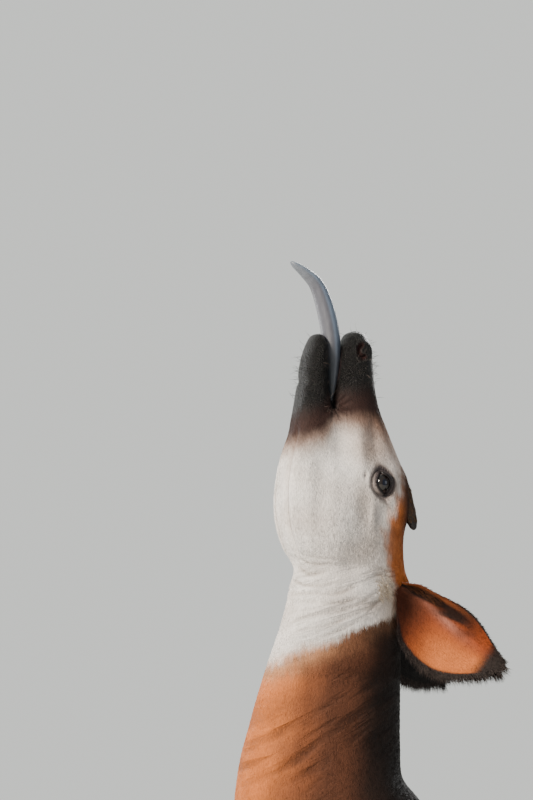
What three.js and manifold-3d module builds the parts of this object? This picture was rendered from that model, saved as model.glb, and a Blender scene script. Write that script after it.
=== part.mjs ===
// A life-size male okapi standing square on four feet, its neck raised and its head
// thrown back so that the muzzle points straight up, with the long tongue stretched out.
// Units are millimetres, +Z is up, the animal faces -X and its left side is at -Y.
import * as THREE from "three";
import { mergeVertices } from "three/addons/utils/BufferGeometryUtils.js";
import Module from "manifold-3d";

const wasm = await Module();
wasm.setup();

// Driving sizes.
const WITHERS_HEIGHT = 1500;
const NOSE_HEIGHT = 2468;
const POLL_HEIGHT = 1950;
const EYE_HEIGHT = 2169;
const ELBOW_HEIGHT = 902;
const STIFLE_HEIGHT = 890;
const STEP_TOP = 1050; // above this height a step doesn't move the leg
const GAP = 0.3; // the space kept between two nodes that touch
const LEFT = -1;
const RIGHT = 1;

// Colours read from the animal, as sRGB.
const CHESTNUT = 0x8a4f2d;
const CHOCOLATE = 0x4a2c20;
const PALE_CHEEK = 0xc9bfb4;
const CREAM = 0xe3d8c6;
const NEAR_BLACK = 0x1d191a;
const RUST = 0xb0602e;
const SLATE_TONGUE = 0x75808d;
const HORN_GREY = 0x3a3433;

// Shape helpers.

// Sets the fields that a station leaves out.
const station = (s) => ({ y: 0, square: 2, egg: 0, ...s });

// Catmull-Rom blend of every field of a list of stations, at place s from 0 to count - 1.
function stationAt(stations, s) {
  const last = stations.length - 1;
  const i = Math.min(Math.floor(s), last - 1);
  const t = s - i;
  const at = (k) => stations[Math.min(Math.max(k, 0), last)];
  const [a, b, c, d] = [at(i - 1), at(i), at(i + 1), at(i + 2)];
  const mixed = {};
  for (const key of Object.keys(b)) {
    const slopeIn = (c[key] - a[key]) / 2;
    const slopeOut = (d[key] - b[key]) / 2;
    const rise = c[key] - b[key];
    const square = 3 * rise - 2 * slopeIn - slopeOut;
    const cube = slopeIn + slopeOut - 2 * rise;
    mixed[key] = b[key] + t * (slopeIn + t * (square + t * cube));
  }
  return mixed;
}

const signedPower = (v, p) => Math.sign(v) * Math.abs(v) ** p;

// How far a step carries a leg forward or back at a height, in full at the floor.
const stepAt = (step, z) => step * THREE.MathUtils.smoothstep(STEP_TOP - z, 0, STEP_TOP);

// Closed surface through rows of rings that all have the same number of points.
// Each end is closed by a fan round the middle of its ring.
function ringGeometry(rings) {
  const around = rings[0].length;
  const positions = rings.flat().flatMap((p) => [p.x, p.y, p.z]);
  const indices = [];
  for (let row = 0; row + 1 < rings.length; row++) {
    for (let i = 0; i < around; i++) {
      const a = row * around + i;
      const b = row * around + ((i + 1) % around);
      indices.push(a, a + around, b, b, a + around, b + around);
    }
  }
  for (const [row, turn] of [[0, 1], [rings.length - 1, -1]]) {
    const middle = new THREE.Vector3();
    rings[row].forEach((p) => middle.add(p));
    middle.divideScalar(around);
    positions.push(middle.x, middle.y, middle.z);
    const centre = positions.length / 3 - 1;
    for (let i = 0; i < around; i++) {
      const a = row * around + i;
      const b = row * around + ((i + 1) % around);
      indices.push(centre, ...(turn > 0 ? [a, b] : [b, a]));
    }
  }
  const geometry = new THREE.BufferGeometry();
  geometry.setAttribute("position", new THREE.Float32BufferAttribute(positions, 3));
  geometry.setIndex(indices);
  return geometry;
}

// A body form carried along a path in the X-Z plane that runs from nose to tail, or from
// hip to hoof. Across the path, `back` reaches towards the animal's back (or the leg's rear),
// `front` the other way and `side` to both sides. `square` above 2 fills the corners and
// `egg` widens the back half. `grow` makes the same form thicker all round.
function loft(list, { around, rows, grow = 0, side = RIGHT, step = 0 }) {
  const stations = list.map(station);
  const last = stations.length - 1;
  const rings = [];
  for (let row = 0; row <= rows; row++) {
    const s = (row / rows) * last;
    const here = stationAt(stations, s);
    const ahead = stationAt(stations, Math.min(s + 0.02, last));
    const behind = stationAt(stations, Math.max(s - 0.02, 0));
    const run = new THREE.Vector2(ahead.x - behind.x, ahead.z - behind.z).normalize();
    const power = 2 / here.square;
    const ring = [];
    for (let i = 0; i < around; i++) {
      const angle = (i / around) * 2 * Math.PI;
      const cos = Math.cos(angle);
      const deep = (cos > 0 ? here.back : here.front) + grow;
      const up = deep * signedPower(cos, power);
      const round = signedPower(Math.sin(angle), power) * (1 + here.egg * cos);
      const x = here.x + stepAt(step, here.z) - run.y * up;
      const y = side * here.y + (here.side + grow) * round;
      ring.push(new THREE.Vector3(x, y, here.z + run.x * up));
    }
    rings.push(ring);
  }
  return solid(ringGeometry(rings));
}

// A closed geometry as a solid that can be joined and cut.
function solid(geometry) {
  const plain = geometry.clone();
  plain.deleteAttribute("normal");
  plain.deleteAttribute("uv");
  const merged = mergeVertices(plain, 1e-3);
  return new wasm.Manifold(
    new wasm.Mesh({
      numProp: 3,
      vertProperties: new Float32Array(merged.attributes.position.array),
      triVerts: new Uint32Array(merged.index.array),
    }),
  );
}

const joined = (solids) => solids.reduce((whole, next) => whole.add(next));

// A repeatable draw between -1 and 1.
let drawn = 7;
function draw() {
  drawn = (drawn * 16807) % 2147483647;
  return (2 * drawn) / 2147483647 - 1;
}

// A flat lock of hair that tapers to its tip. It starts at a root, runs along `way`, bends
// towards `bend` and is wide across `across`.
function lock(root, { way, bend, across, long, wide, thick }) {
  const ROWS = 3;
  const flat = new THREE.Vector3().crossVectors(way, across).normalize();
  const rings = [];
  for (let row = 0; row <= ROWS; row++) {
    const t = row / ROWS;
    const middle = root.clone().addScaledVector(way, long * t).addScaledVector(bend, long * t * t);
    const half = (wide / 2) * (0.12 + 0.88 * (1 - t ** 1.6));
    const deep = (thick / 2) * (0.3 + 0.7 * (1 - t));
    rings.push([[1, 0], [0, 1], [-1, 0], [0, -1]].map(([u, v]) =>
      middle.clone().addScaledVector(across, u * half).addScaledVector(flat, v * deep),
    ));
  }
  return outward(ringGeometry(rings));
}

// The largest closed surface of a solid.
function largest(made) {
  return made.decompose().reduce((best, next) => (next.volume() > best.volume() ? next : best));
}

function mesh(name, made, color, roughness) {
  const { vertProperties, triVerts } = largest(made).getMesh();
  const geometry = new THREE.BufferGeometry();
  geometry.setAttribute("position", new THREE.BufferAttribute(new Float32Array(vertProperties), 3));
  geometry.setIndex(new THREE.BufferAttribute(new Uint32Array(triVerts), 1));
  geometry.computeVertexNormals();
  const part = new THREE.Mesh(geometry, new THREE.MeshStandardMaterial({ color, roughness }));
  part.name = name;
  return part;
}

// An ellipsoid with its middle and half sizes given, turned about the Y axis.
function ellipsoid(middle, half, turnY = 0, segments = 14) {
  const geometry = new THREE.SphereGeometry(1, segments, Math.round(segments * 0.7));
  geometry.scale(...half).rotateY(turnY).translate(...middle);
  return solid(geometry);
}

// A thick plate that lies under the plane through two points of the X-Z plane.
function under(from, to, drop = 0) {
  const REACH = 1600;
  const run = Math.atan2(to[1] - from[1], to[0] - from[0]);
  const plate = new THREE.BoxGeometry(2 * REACH, 2 * REACH, 2 * REACH);
  plate.translate(0, 0, -REACH - drop).rotateY(-run).translate(from[0], 0, from[1]);
  return solid(plate);
}

// Trunk and neck.
const TRUNK = [
  { x: -300, z: 1170, back: 40, front: 45, side: 40 },
  { x: -280, z: 1176, back: 118, front: 112, side: 102 },
  { x: -205, z: 1190, back: 212, front: 206, side: 156 },
  { x: -85, z: 1198, back: 268, front: 262, side: 192, egg: -0.08 },
  { x: 50, z: 1205, back: 288, front: 290, side: 218, egg: -0.14 },
  { x: 180, z: 1210, back: WITHERS_HEIGHT - 1210, front: 312, side: 240, egg: -0.16 },
  { x: 350, z: 1190, back: 272, front: 312, side: 262, egg: -0.12 },
  { x: 505, z: 1185, back: 262, front: 280, side: 256, egg: -0.08 },
  { x: 645, z: 1188, back: 246, front: 220, side: 226, egg: -0.04 },
  { x: 765, z: 1195, back: 200, front: 185, side: 180 },
  { x: 842, z: 1190, back: 134, front: 130, side: 122 },
  { x: 884, z: 1180, back: 60, front: 65, side: 58 },
];
const NECK = [
  { x: -60, z: 2045, back: 60, front: 60, side: 50 },
  { x: -58, z: 1995, back: 118, front: 112, side: 70 },
  { x: -58, z: 1940, back: 128, front: 118, side: 78, egg: -0.05 },
  { x: -66, z: 1875, back: 128, front: 126, side: 82, egg: -0.08 },
  { x: -76, z: 1810, back: 136, front: 138, side: 87, egg: -0.1 },
  { x: -86, z: 1745, back: 145, front: 149, side: 94, egg: -0.1 },
  { x: -97, z: 1675, back: 156, front: 158, side: 103, egg: -0.08 },
  { x: -106, z: 1605, back: 168, front: 168, side: 116, egg: -0.05 },
  { x: -104, z: 1535, back: 206, front: 182, side: 130 },
  { x: -95, z: 1460, back: 246, front: 208, side: 146 },
  { x: -88, z: 1380, back: 245, front: 230, side: 158 },
  { x: -84, z: 1300, back: 215, front: 240, side: 164 },
  { x: -80, z: 1215, back: 170, front: 236, side: 156 },
  { x: -78, z: 1130, back: 120, front: 215, side: 125 },
  { x: -78, z: 1070, back: 50, front: 120, side: 70 },
];
const trunk = (grow = 0) => loft(TRUNK, { around: 24, rows: 20, grow });
const neck = (grow = 0) => loft(NECK, { around: 24, rows: 22, grow });

// Cranium, face and upper lip, from the tip of the nose back to the poll.
const SKULL = [
  { x: -36, z: NOSE_HEIGHT, back: 7, front: 7, side: 10 },
  { x: -36, z: 2461, back: 22, front: 21, side: 30 },
  { x: -37, z: 2443, back: 31, front: 29, side: 42 },
  { x: -38, z: 2415, back: 36, front: 35, side: 46, square: 2.2 },
  { x: -38, z: 2380, back: 39, front: 43, side: 44, square: 2.2 },
  { x: -39, z: 2345, back: 45, front: 48, side: 44, square: 2.2 },
  { x: -40, z: 2310, back: 55, front: 60, side: 49, square: 2.2 },
  { x: -40, z: 2262, back: 74, front: 80, side: 58, square: 2.3 },
  { x: -41, z: 2212, back: 94, front: 98, side: 72, square: 2.4, egg: 0.06 },
  { x: -42, z: EYE_HEIGHT, back: 108, front: 108, side: 82, square: 2.5, egg: 0.08 },
  { x: -43, z: 2120, back: 108, front: 112, side: 83, square: 2.5, egg: 0.05 },
  { x: -44, z: 2070, back: 104, front: 112, side: 80, square: 2.4 },
  { x: -45, z: 2010, back: 108, front: 110, side: 76, square: 2.2 },
  { x: -46, z: POLL_HEIGHT, back: 118, front: 104, side: 74 },
  { x: -50, z: 1885, back: 90, front: 80, side: 60 },
];

// Lower lip, chin and the two halves of the lower jaw with the throat between them.
const JAW = [
  { x: -112, z: 2461, back: 6, front: 7, side: 10 },
  { x: -112, z: 2455, back: 13, front: 15, side: 25 },
  { x: -114, z: 2436, back: 19, front: 22, side: 35 },
  { x: -117, z: 2405, back: 23, front: 28, side: 40 },
  { x: -120, z: 2366, back: 27, front: 32, side: 42, square: 2.3 },
  { x: -122, z: 2318, back: 36, front: 38, side: 46, square: 2.5 },
  { x: -125, z: 2264, back: 60, front: 46, side: 54, square: 2.7 },
  { x: -128, z: 2212, back: 75, front: 59, side: 63, square: 2.9 },
  { x: -128, z: EYE_HEIGHT, back: 80, front: 66, side: 69, square: 3 },
  { x: -128, z: 2122, back: 85, front: 67, side: 74, square: 3 },
  { x: -125, z: 2080, back: 85, front: 63, side: 74, square: 2.8 },
  { x: -118, z: 2038, back: 80, front: 56, side: 69, square: 2.5 },
  { x: -110, z: 1995, back: 55, front: 38, side: 52 },
];

// The flesh of the cheek, which closes the mouth behind its corner and covers the jaw muscle.
const CHEEK = [
  { x: -86, z: 2322, back: 16, front: 14, side: 30 },
  { x: -87, z: 2302, back: 36, front: 32, side: 43 },
  { x: -88, z: 2258, back: 54, front: 52, side: 54 },
  { x: -88, z: 2205, back: 70, front: 68, side: 68, square: 2.2 },
  { x: -88, z: 2145, back: 82, front: 78, side: 80, square: 2.2 },
  { x: -88, z: 2080, back: 84, front: 76, side: 82, square: 2.2 },
  { x: -86, z: 2020, back: 72, front: 64, side: 75 },
  { x: -84, z: 1965, back: 44, front: 42, side: 55 },
];

// Brow and nostril swellings on one side of the head.
const bulges = (side, grow) => [
  ellipsoid([22, side * 40, 2146], [44 + grow, 36 + grow, 82 + grow], -0.1),
  ellipsoid([-26, side * 32, 2424], [17 + grow, 15 + grow, 26 + grow]),
];

const head = (grow = 0) =>
  joined([
    loft(SKULL, { around: 22, rows: 26, grow }),
    loft(JAW, { around: 18, rows: 18, grow }),
    loft(CHEEK, { around: 16, rows: 10, grow }),
    ...[LEFT, RIGHT].flatMap((side) => bulges(side, grow)),
  ]);

// The pit of a nostril, a slanting slot on the upper front of the muzzle.
const nostril = (side) => ellipsoid([-26, side * 46, 2429], [6, 8, 14], 0.45, 12);

// Eyes and lids.
const EYE = { x: -4, y: 65, radius: 21 };
const eyeball = (side, grow = 0) =>
  ellipsoid([EYE.x, side * EYE.y, EYE_HEIGHT], Array(3).fill(EYE.radius + grow), 0, 14);

// The ring of the eyelids: a torus squeezed to the long slit that the open lids leave.
function lids(side) {
  const LID = { ring: 17, thick: 5.5, long: 1.2, narrow: 0.86, out: 15 };
  const geometry = new THREE.TorusGeometry(LID.ring, LID.thick, 6, 18);
  geometry.scale(LID.narrow, LID.long, 1).rotateX(Math.PI / 2);
  geometry.translate(EYE.x, side * (EYE.y + LID.out), EYE_HEIGHT);
  return solid(geometry);
}

const TONGUE = [
  { x: -166, z: 2600, back: 2.5, front: 2.5, side: 4 },
  { x: -158, z: 2594, back: 6, front: 6, side: 10 },
  { x: -138, z: 2580, back: 10, front: 10, side: 16 },
  { x: -114, z: 2556, back: 14, front: 14, side: 19 },
  { x: -97, z: 2513, back: 17, front: 17, side: 21 },
  { x: -86, z: 2462, back: 18, front: 18, side: 22 },
  { x: -80, z: 2412, back: 15, front: 16, side: 21 },
  { x: -80, z: 2366, back: 9, front: 10, side: 17 },
  { x: -82, z: 2336, back: 4, front: 4, side: 9 },
];
const tongue = (grow = 0) => loft(TONGUE, { around: 12, rows: 18, grow });

// The horns of the forehead, short and swept back.
const OSSICONE = [
  { x: 69, z: 2080, back: 2, front: 2, side: 3 },
  { x: 68, z: 2086, back: 7, front: 7, side: 7 },
  { x: 63, z: 2104, back: 11, front: 11, side: 11 },
  { x: 54, z: 2130, back: 14, front: 14, side: 14 },
  { x: 46, z: 2158, back: 15, front: 15, side: 16 },
  { x: 42, z: 2172, back: 10, front: 10, side: 10 },
].map((s) => ({ ...s, y: 46 }));
const ossicone = (side) => loft(OSSICONE, { around: 10, rows: 10, side }).subtract(head(GAP));

// Ears, given for the right side of the head.
const EAR = {
  root: new THREE.Vector3(30, 70, 1968),
  tip: new THREE.Vector3(206, 166, 1818),
  opening: new THREE.Vector3(-0.35, 0.9, -0.2), // roughly the way that the cup faces
  thickRoot: 7,
  thickRim: 3,
  droop: { [LEFT]: 0, [RIGHT]: 18 }, // how much lower than `tip` each ear hangs
};
const EAR_WIDTHS = [
  { low: 20, high: 20, deep: 26 },
  { low: 58, high: 28, deep: 36 },
  { low: 84, high: 34, deep: 38 },
  { low: 92, high: 40, deep: 36 },
  { low: 90, high: 44, deep: 31 },
  { low: 80, high: 42, deep: 25 },
  { low: 60, high: 32, deep: 17 },
  { low: 36, high: 18, deep: 8 },
  { low: 7, high: 5, deep: 2 },
];

// The three directions of an ear: along it to the tip, out of its cup, and across it.
function earFrame(side) {
  const along = EAR.tip.clone().sub(EAR.root);
  along.z -= EAR.droop[side];
  const run = along.clone().normalize();
  const open = EAR.opening.clone().addScaledVector(run, -EAR.opening.dot(run)).normalize();
  const wide = new THREE.Vector3().crossVectors(open, run).normalize();
  return { along, run, open, wide };
}

// A place on the leaf of an ear: t from root to tip, v from the upper rim at -1 through the
// hollow to the lower rim at 1, and lift from the outer face at -0.5 to the inner at 0.5.
function earPoint({ along, open, wide }, t, v, lift) {
  const w = stationAt(EAR_WIDTHS, t * (EAR_WIDTHS.length - 1));
  const thick = THREE.MathUtils.lerp(EAR.thickRoot, EAR.thickRim, Math.sqrt(t));
  const over = v < 0 ? v * w.high : v * w.low;
  const hollow = -w.deep * (1 - Math.abs(v) ** 2.2) + lift * thick * (1 - 0.5 * v ** 4);
  const point = EAR.root.clone().addScaledVector(along, t);
  return point.addScaledVector(wide, over).addScaledVector(open, hollow);
}

// A leaf bent to a cup. Each row of both faces, taken once round, is one ring of the shell.
function earLeaf(side) {
  const rows = 12;
  const across = 8;
  const frame = earFrame(side);
  const rings = [];
  for (let row = 0; row <= rows; row++) {
    const line = (lift) =>
      Array.from({ length: across + 1 }, (_, i) =>
        earPoint(frame, row / rows, (2 * i) / across - 1, lift),
      );
    rings.push([...line(0.5), ...line(-0.5).reverse()]);
  }
  return ringGeometry(rings);
}

// The rounded base that the leaf of an ear grows from.
function earBase(side) {
  const BASE = { half: [20, 16, 36], along: 12, back: 24 };
  const { run, open, wide } = earFrame(side);
  const middle = EAR.root.clone().addScaledVector(run, BASE.along).addScaledVector(open, -BASE.back);
  const geometry = new THREE.SphereGeometry(1, 12, 9).rotateX(Math.PI / 2).scale(...BASE.half);
  return geometry
    .applyMatrix4(new THREE.Matrix4().makeBasis(wide, open, run))
    .translate(middle.x, middle.y, middle.z);
}

// The fringe of an ear: locks rooted in its lower rim, which hang down and lean to the tip.
function earFringe(side) {
  const FRINGE = { count: 11, from: 0.3, to: 0.95, long: 23, wide: 29, thick: 2.2, tilt: 0.28, sink: 5 };
  const frame = earFrame(side);
  const locks = [];
  for (let i = 0; i < FRINGE.count; i++) {
    const t = THREE.MathUtils.lerp(FRINGE.from, FRINGE.to, (i + 0.3 * draw()) / (FRINGE.count - 1));
    const root = earPoint(frame, t, 0.97, 0);
    const rim = earPoint(frame, t + 0.02, 0.97, 0).sub(earPoint(frame, t - 0.02, 0.97, 0)).normalize();
    const out = root.clone().sub(earPoint(frame, t, 0.85, 0)).normalize();
    const way = out.clone().addScaledVector(rim, 0.6 + 0.1 * draw()).normalize();
    root.addScaledVector(out, -FRINGE.sink);
    const bend = rim.clone().multiplyScalar(0.3);
    const long = FRINGE.sink + FRINGE.long * (0.85 + 0.15 * draw());
    const across = rim.clone().addScaledVector(frame.open, FRINGE.tilt).normalize();
    locks.push([root, { way, bend, across, long, wide: FRINGE.wide, thick: FRINGE.thick }]);
  }
  return locks.map(([root, shape]) => {
    const flip = (v) => v.clone().multiply(new THREE.Vector3(1, side, 1));
    const { way, bend, across } = shape;
    return lock(flip(root), { ...shape, way: flip(way), bend: flip(bend), across: flip(across) });
  });
}

function ear(side) {
  const parts = [earLeaf(side), earBase(side)].map((g) => outward(g.scale(1, side, 1)));
  return joined([...parts, ...earFringe(side)]).subtract(head(GAP)).subtract(neck(GAP));
}

// A solid whose faces point out, whichever way its geometry was wound.
function outward(geometry) {
  const made = solid(geometry);
  if (made.volume() > 0) return made;
  const index = geometry.index.array;
  for (let i = 0; i < index.length; i += 3) {
    [index[i], index[i + 1]] = [index[i + 1], index[i]];
  }
  return solid(geometry);
}

// Legs, from the shoulder or hip down to the coronet, given for the right side.
const FORELEG = [
  { x: -32, y: 95, z: 1370, back: 60, front: 60, side: 28 },
  { x: -47, y: 120, z: 1300, back: 125, front: 120, side: 60 },
  { x: -77, y: 142, z: 1190, back: 155, front: 160, side: 78 },
  { x: -87, y: 150, z: 1090, back: 150, front: 155, side: 80 },
  { x: -72, y: 148, z: 990, back: 122, front: 112, side: 74 },
  { x: -56, y: 142, z: 905, back: 90, front: 72, side: 62 },
  { x: -60, y: 138, z: 820, back: 60, front: 58, side: 50 },
  { x: -66, y: 136, z: 720, back: 46, front: 50, side: 42 },
  { x: -70, y: 134, z: 610, back: 38, front: 42, side: 36 },
  { x: -72, y: 132, z: 530, back: 38, front: 42, side: 38 },
  { x: -72, y: 132, z: 480, back: 42, front: 44, side: 41 },
  { x: -68, y: 131, z: 425, back: 34, front: 31, side: 32 },
  { x: -66, y: 130, z: 340, back: 27, front: 24, side: 24 },
  { x: -66, y: 130, z: 240, back: 27, front: 24, side: 24 },
  { x: -68, y: 130, z: 165, back: 38, front: 31, side: 32 },
  { x: -80, y: 130, z: 110, back: 30, front: 28, side: 31 },
  { x: -94, y: 130, z: 66, back: 42, front: 38, side: 42 },
  { x: -102, y: 130, z: 30, back: 44, front: 40, side: 43 },
];
const HINDLEG = [
  { x: 667, y: 92, z: 1345, back: 60, front: 70, side: 30 },
  { x: 654, y: 118, z: 1275, back: 150, front: 150, side: 78 },
  { x: 640, y: 138, z: 1175, back: 222, front: 188, side: 106 },
  { x: 632, y: 142, z: 1065, back: 222, front: 190, side: 110 },
  { x: 622, y: 143, z: 955, back: 178, front: 165, side: 97 },
  { x: 622, y: 143, z: 850, back: 112, front: 124, side: 76 },
  { x: 646, y: 141, z: 745, back: 72, front: 76, side: 56 },
  { x: 677, y: 139, z: 640, back: 52, front: 50, side: 42 },
  { x: 696, y: 138, z: 560, back: 60, front: 43, side: 38 },
  { x: 696, y: 137, z: 500, back: 50, front: 40, side: 36 },
  { x: 684, y: 136, z: 420, back: 33, front: 30, side: 27 },
  { x: 674, y: 136, z: 320, back: 28, front: 26, side: 24 },
  { x: 668, y: 136, z: 225, back: 29, front: 27, side: 25 },
  { x: 664, y: 136, z: 160, back: 38, front: 32, side: 33 },
  { x: 650, y: 136, z: 106, back: 30, front: 28, side: 31 },
  { x: 634, y: 136, z: 64, back: 42, front: 38, side: 42 },
  { x: 626, y: 136, z: 30, back: 44, front: 40, side: 43 },
];

// The legs stand a little before or behind one another, as an animal at ease does.
const LIMBS = [
  { name: "foreleg_left", stations: FORELEG, side: LEFT, step: -35 },
  { name: "foreleg_right", stations: FORELEG, side: RIGHT, step: 40 },
  { name: "hindleg_left", stations: HINDLEG, side: LEFT, step: 45 },
  { name: "hindleg_right", stations: HINDLEG, side: RIGHT, step: -50 },
];
const limb = ({ stations, side, step }, grow = 0) =>
  loft(stations, { around: 14, rows: 28, grow, side, step });

// Hooves: two claws on each foot, cut off by the coronet above and the floor below.
const CLAW = [
  { x: 12, z: 120, back: 30, front: 28, side: 14 },
  { x: 4, z: 85, back: 36, front: 36, side: 17 },
  { x: -5, z: 50, back: 42, front: 44, side: 20, square: 2.3 },
  { x: -14, z: 15, back: 46, front: 52, side: 21, square: 2.4 },
  { x: -22, z: -25, back: 48, front: 56, side: 21, square: 2.4 },
];
const CLAW_APART = 21.5; // from the middle of the foot to the middle of a claw
const CORONET = { front: 70, back: 48, reach: 50 };
const FLOOR = [[0, 0], [1, 0]];

function coronetPlane(foot, drop = 0) {
  const { front, back, reach } = CORONET;
  return under([foot.x - reach, front], [foot.x + reach, back], drop);
}

function footOf({ stations, side, step }) {
  const low = stations[stations.length - 2];
  return { x: low.x + stepAt(step, low.z), y: side * low.y };
}

function claw(l, offset) {
  const foot = footOf(l);
  const stations = CLAW.map((s) => ({ ...s, x: foot.x + s.x, y: foot.y + offset }));
  return loft(stations, { around: 12, rows: 6 })
    .intersect(coronetPlane(foot, GAP))
    .subtract(under(...FLOOR));
}

const TAIL = [
  { x: 822, z: 1318, back: 30, front: 30, side: 34 },
  { x: 880, z: 1300, back: 30, front: 30, side: 34 },
  { x: 918, z: 1248, back: 22, front: 24, side: 27 },
  { x: 934, z: 1165, back: 16, front: 17, side: 20 },
  { x: 939, z: 1085, back: 13, front: 13, side: 16 },
  { x: 940, z: 1015, back: 11, front: 11, side: 13 },
  { x: 940, z: 955, back: 8, front: 8, side: 9 },
  { x: 940, z: 895, back: 3, front: 3, side: 4 },
];

// The tuft: locks in two tiers round the end of the tail, which hang and curl inward.
function tailTuft() {
  const TIERS = [
    { z: 1030, out: 10, long: 140, count: 5 },
    { z: 985, out: 8, long: 150, count: 4 },
  ];
  const down = new THREE.Vector3(0, 0, -1);
  return TIERS.flatMap(({ z, out, long, count }, tier) =>
    Array.from({ length: count }, (_, i) => {
      const turn = ((i + 0.5 * tier + 0.15 * draw()) / count) * 2 * Math.PI;
      const away = new THREE.Vector3(Math.cos(turn), Math.sin(turn), 0);
      const across = new THREE.Vector3(-Math.sin(turn), Math.cos(turn), 0);
      const root = away.clone().multiplyScalar(out - 3).add(new THREE.Vector3(940, 0, z));
      const way = down.clone().addScaledVector(away, 0.22 + 0.03 * draw()).normalize();
      const bend = away.clone().multiplyScalar(-0.17).addScaledVector(across, 0.04 * draw());
      const size = { long: long * (0.92 + 0.08 * draw()), wide: 27, thick: 5 };
      return lock(root, { way, bend, across, ...size });
    }),
  );
}
const tail = () =>
  joined([loft(TAIL, { around: 8, rows: 16 }), ...tailTuft()])
    .subtract(trunk(GAP))
    .subtract(joined(LIMBS.slice(2).map((l) => limb(l, GAP))));

// The whole flesh in one piece, then parted with thin cuts at the nape, the withers,
// the elbows and the stifles.
const NAPE_CUT = [[-180, 2000], [90, 1900]];
const WITHERS_CUT = [[-330, 1290], [140, 1490]];
const ELBOW_CUT = [[-200, ELBOW_HEIGHT], [60, ELBOW_HEIGHT]];
const STIFLE_CUT = [[470, STIFLE_HEIGHT], [790, STIFLE_HEIGHT + 60]];

const flesh = joined([trunk(), neck(), head(), ...LIMBS.map((l) => limb(l))]);
const headSolid = joined([flesh.subtract(under(...NAPE_CUT)), lids(LEFT), lids(RIGHT)])
  .subtract(tongue(GAP))
  .subtract(joined([LEFT, RIGHT].flatMap((side) => [eyeball(side, GAP), nostril(side)])));
const neckSolid = flesh.intersect(under(...NAPE_CUT, GAP)).subtract(under(...WITHERS_CUT));

// The space under the elbow or stifle that one leg has to itself.
function legRegion({ stations, side }, drop) {
  const hind = stations === HINDLEG;
  const [middle, long] = hind ? [660, 600] : [-80, 360];
  const box = new THREE.BoxGeometry(long, 300, 1400).translate(middle, side * 152, 500);
  return under(...(hind ? STIFLE_CUT : ELBOW_CUT), drop).intersect(solid(box));
}

const torsoSolid = flesh
  .intersect(under(...WITHERS_CUT, GAP))
  .subtract(joined(LIMBS.map((l) => legRegion(l, 0))));

const okapi = new THREE.Group();
okapi.name = "okapi";
okapi.add(
  mesh("head", headSolid, PALE_CHEEK, 0.85),
  mesh("neck", neckSolid, CHESTNUT, 0.85),
  mesh("torso", torsoSolid, CHOCOLATE, 0.85),
  mesh("tail", tail(), NEAR_BLACK, 0.9),
  mesh("tongue", tongue(), SLATE_TONGUE, 0.45),
);
for (const [word, side] of [["left", LEFT], ["right", RIGHT]]) {
  okapi.add(
    mesh(`eye_${word}`, eyeball(side), NEAR_BLACK, 0.1),
    mesh(`ear_${word}`, ear(side), RUST, 0.9),
    mesh(`ossicone_${word}`, ossicone(side), HORN_GREY, 0.8),
  );
}
for (const l of LIMBS) {
  const leg = flesh.intersect(legRegion(l, GAP)).subtract(coronetPlane(footOf(l)));
  okapi.add(mesh(l.name, leg, CREAM, 0.85));
  for (const [word, way] of [["inner", -l.side], ["outer", l.side]]) {
    const name = `hoof_${l.name.replace("leg", "")}_${word}`;
    okapi.add(mesh(name, claw(l, way * CLAW_APART), HORN_GREY, 0.5));
  }
}

// The origin is under the middle of the animal's own box, on the floor.
const box = new THREE.Box3().setFromObject(okapi);
const middle = box.getCenter(new THREE.Vector3());
okapi.position.set(-middle.x, -middle.y, -box.min.z);

export default okapi;
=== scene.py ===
"""A still, life-size okapi that stretches its neck and tongue straight up.

Shapes are worked out in millimetres in the animal's own frame: it faces -X, its left side
is at -Y and the floor is at z = 0. They are moved to the part's frame, in metres, when a
piece is made.
"""

import bpy
import numpy as np
from mathutils import Matrix, Vector


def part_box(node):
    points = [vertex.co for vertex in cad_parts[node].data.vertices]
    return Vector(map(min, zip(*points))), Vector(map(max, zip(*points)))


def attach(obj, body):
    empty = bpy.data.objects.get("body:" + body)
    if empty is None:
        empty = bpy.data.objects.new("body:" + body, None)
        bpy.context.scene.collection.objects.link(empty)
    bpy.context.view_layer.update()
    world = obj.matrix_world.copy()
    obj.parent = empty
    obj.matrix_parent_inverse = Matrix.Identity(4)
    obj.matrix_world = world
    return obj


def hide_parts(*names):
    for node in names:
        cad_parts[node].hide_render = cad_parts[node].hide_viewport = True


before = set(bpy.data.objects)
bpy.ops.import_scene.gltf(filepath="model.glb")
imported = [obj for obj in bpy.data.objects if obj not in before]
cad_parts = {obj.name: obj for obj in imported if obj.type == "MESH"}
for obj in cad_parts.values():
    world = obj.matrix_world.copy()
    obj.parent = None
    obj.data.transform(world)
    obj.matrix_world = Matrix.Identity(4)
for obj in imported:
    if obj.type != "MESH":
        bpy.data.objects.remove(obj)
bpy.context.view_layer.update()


# Trunk and neck
# The barrel of the ribs, the haunches and the long neck that is stretched straight up: muscle
# over bone in the animal. Each is a row of rings along its spine, as in a taxidermist's foam
# body, and the skin is drawn over all the forms further down. Sizes are in millimetres.


def smooth(value, start, end):
    """0 before start, 1 after end, with a soft S curve between. start may be above end."""
    t = np.clip((value - start) / (end - start), 0, 1)
    return t * t * (3 - 2 * t)


def unit(v):
    """Vectors over their own lengths."""
    return v / np.maximum(np.linalg.norm(v, axis=-1, keepdims=True), 1e-9)


def blend_rows(table, s):
    """Smooth blend of a table's rows at places s, from 0 at the first to the last.

    A cubic runs from each row to the next. Its slope at a row is half the difference between
    the rows before and after it.
    """
    table = np.asarray(table, float)
    last = len(table) - 1
    i = np.minimum(np.floor(s).astype(int), last - 1)
    t = (s - i)[:, None]
    a, b, c, d = (table[np.clip(i + k, 0, last)] for k in (-1, 0, 1, 2))
    slope_in, slope_out, rise = (c - a) / 2, (d - b) / 2, c - b
    square = 3 * rise - 2 * slope_in - slope_out
    return b + t * (slope_in + t * (square + t * (slope_in + slope_out - 2 * rise)))


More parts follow.
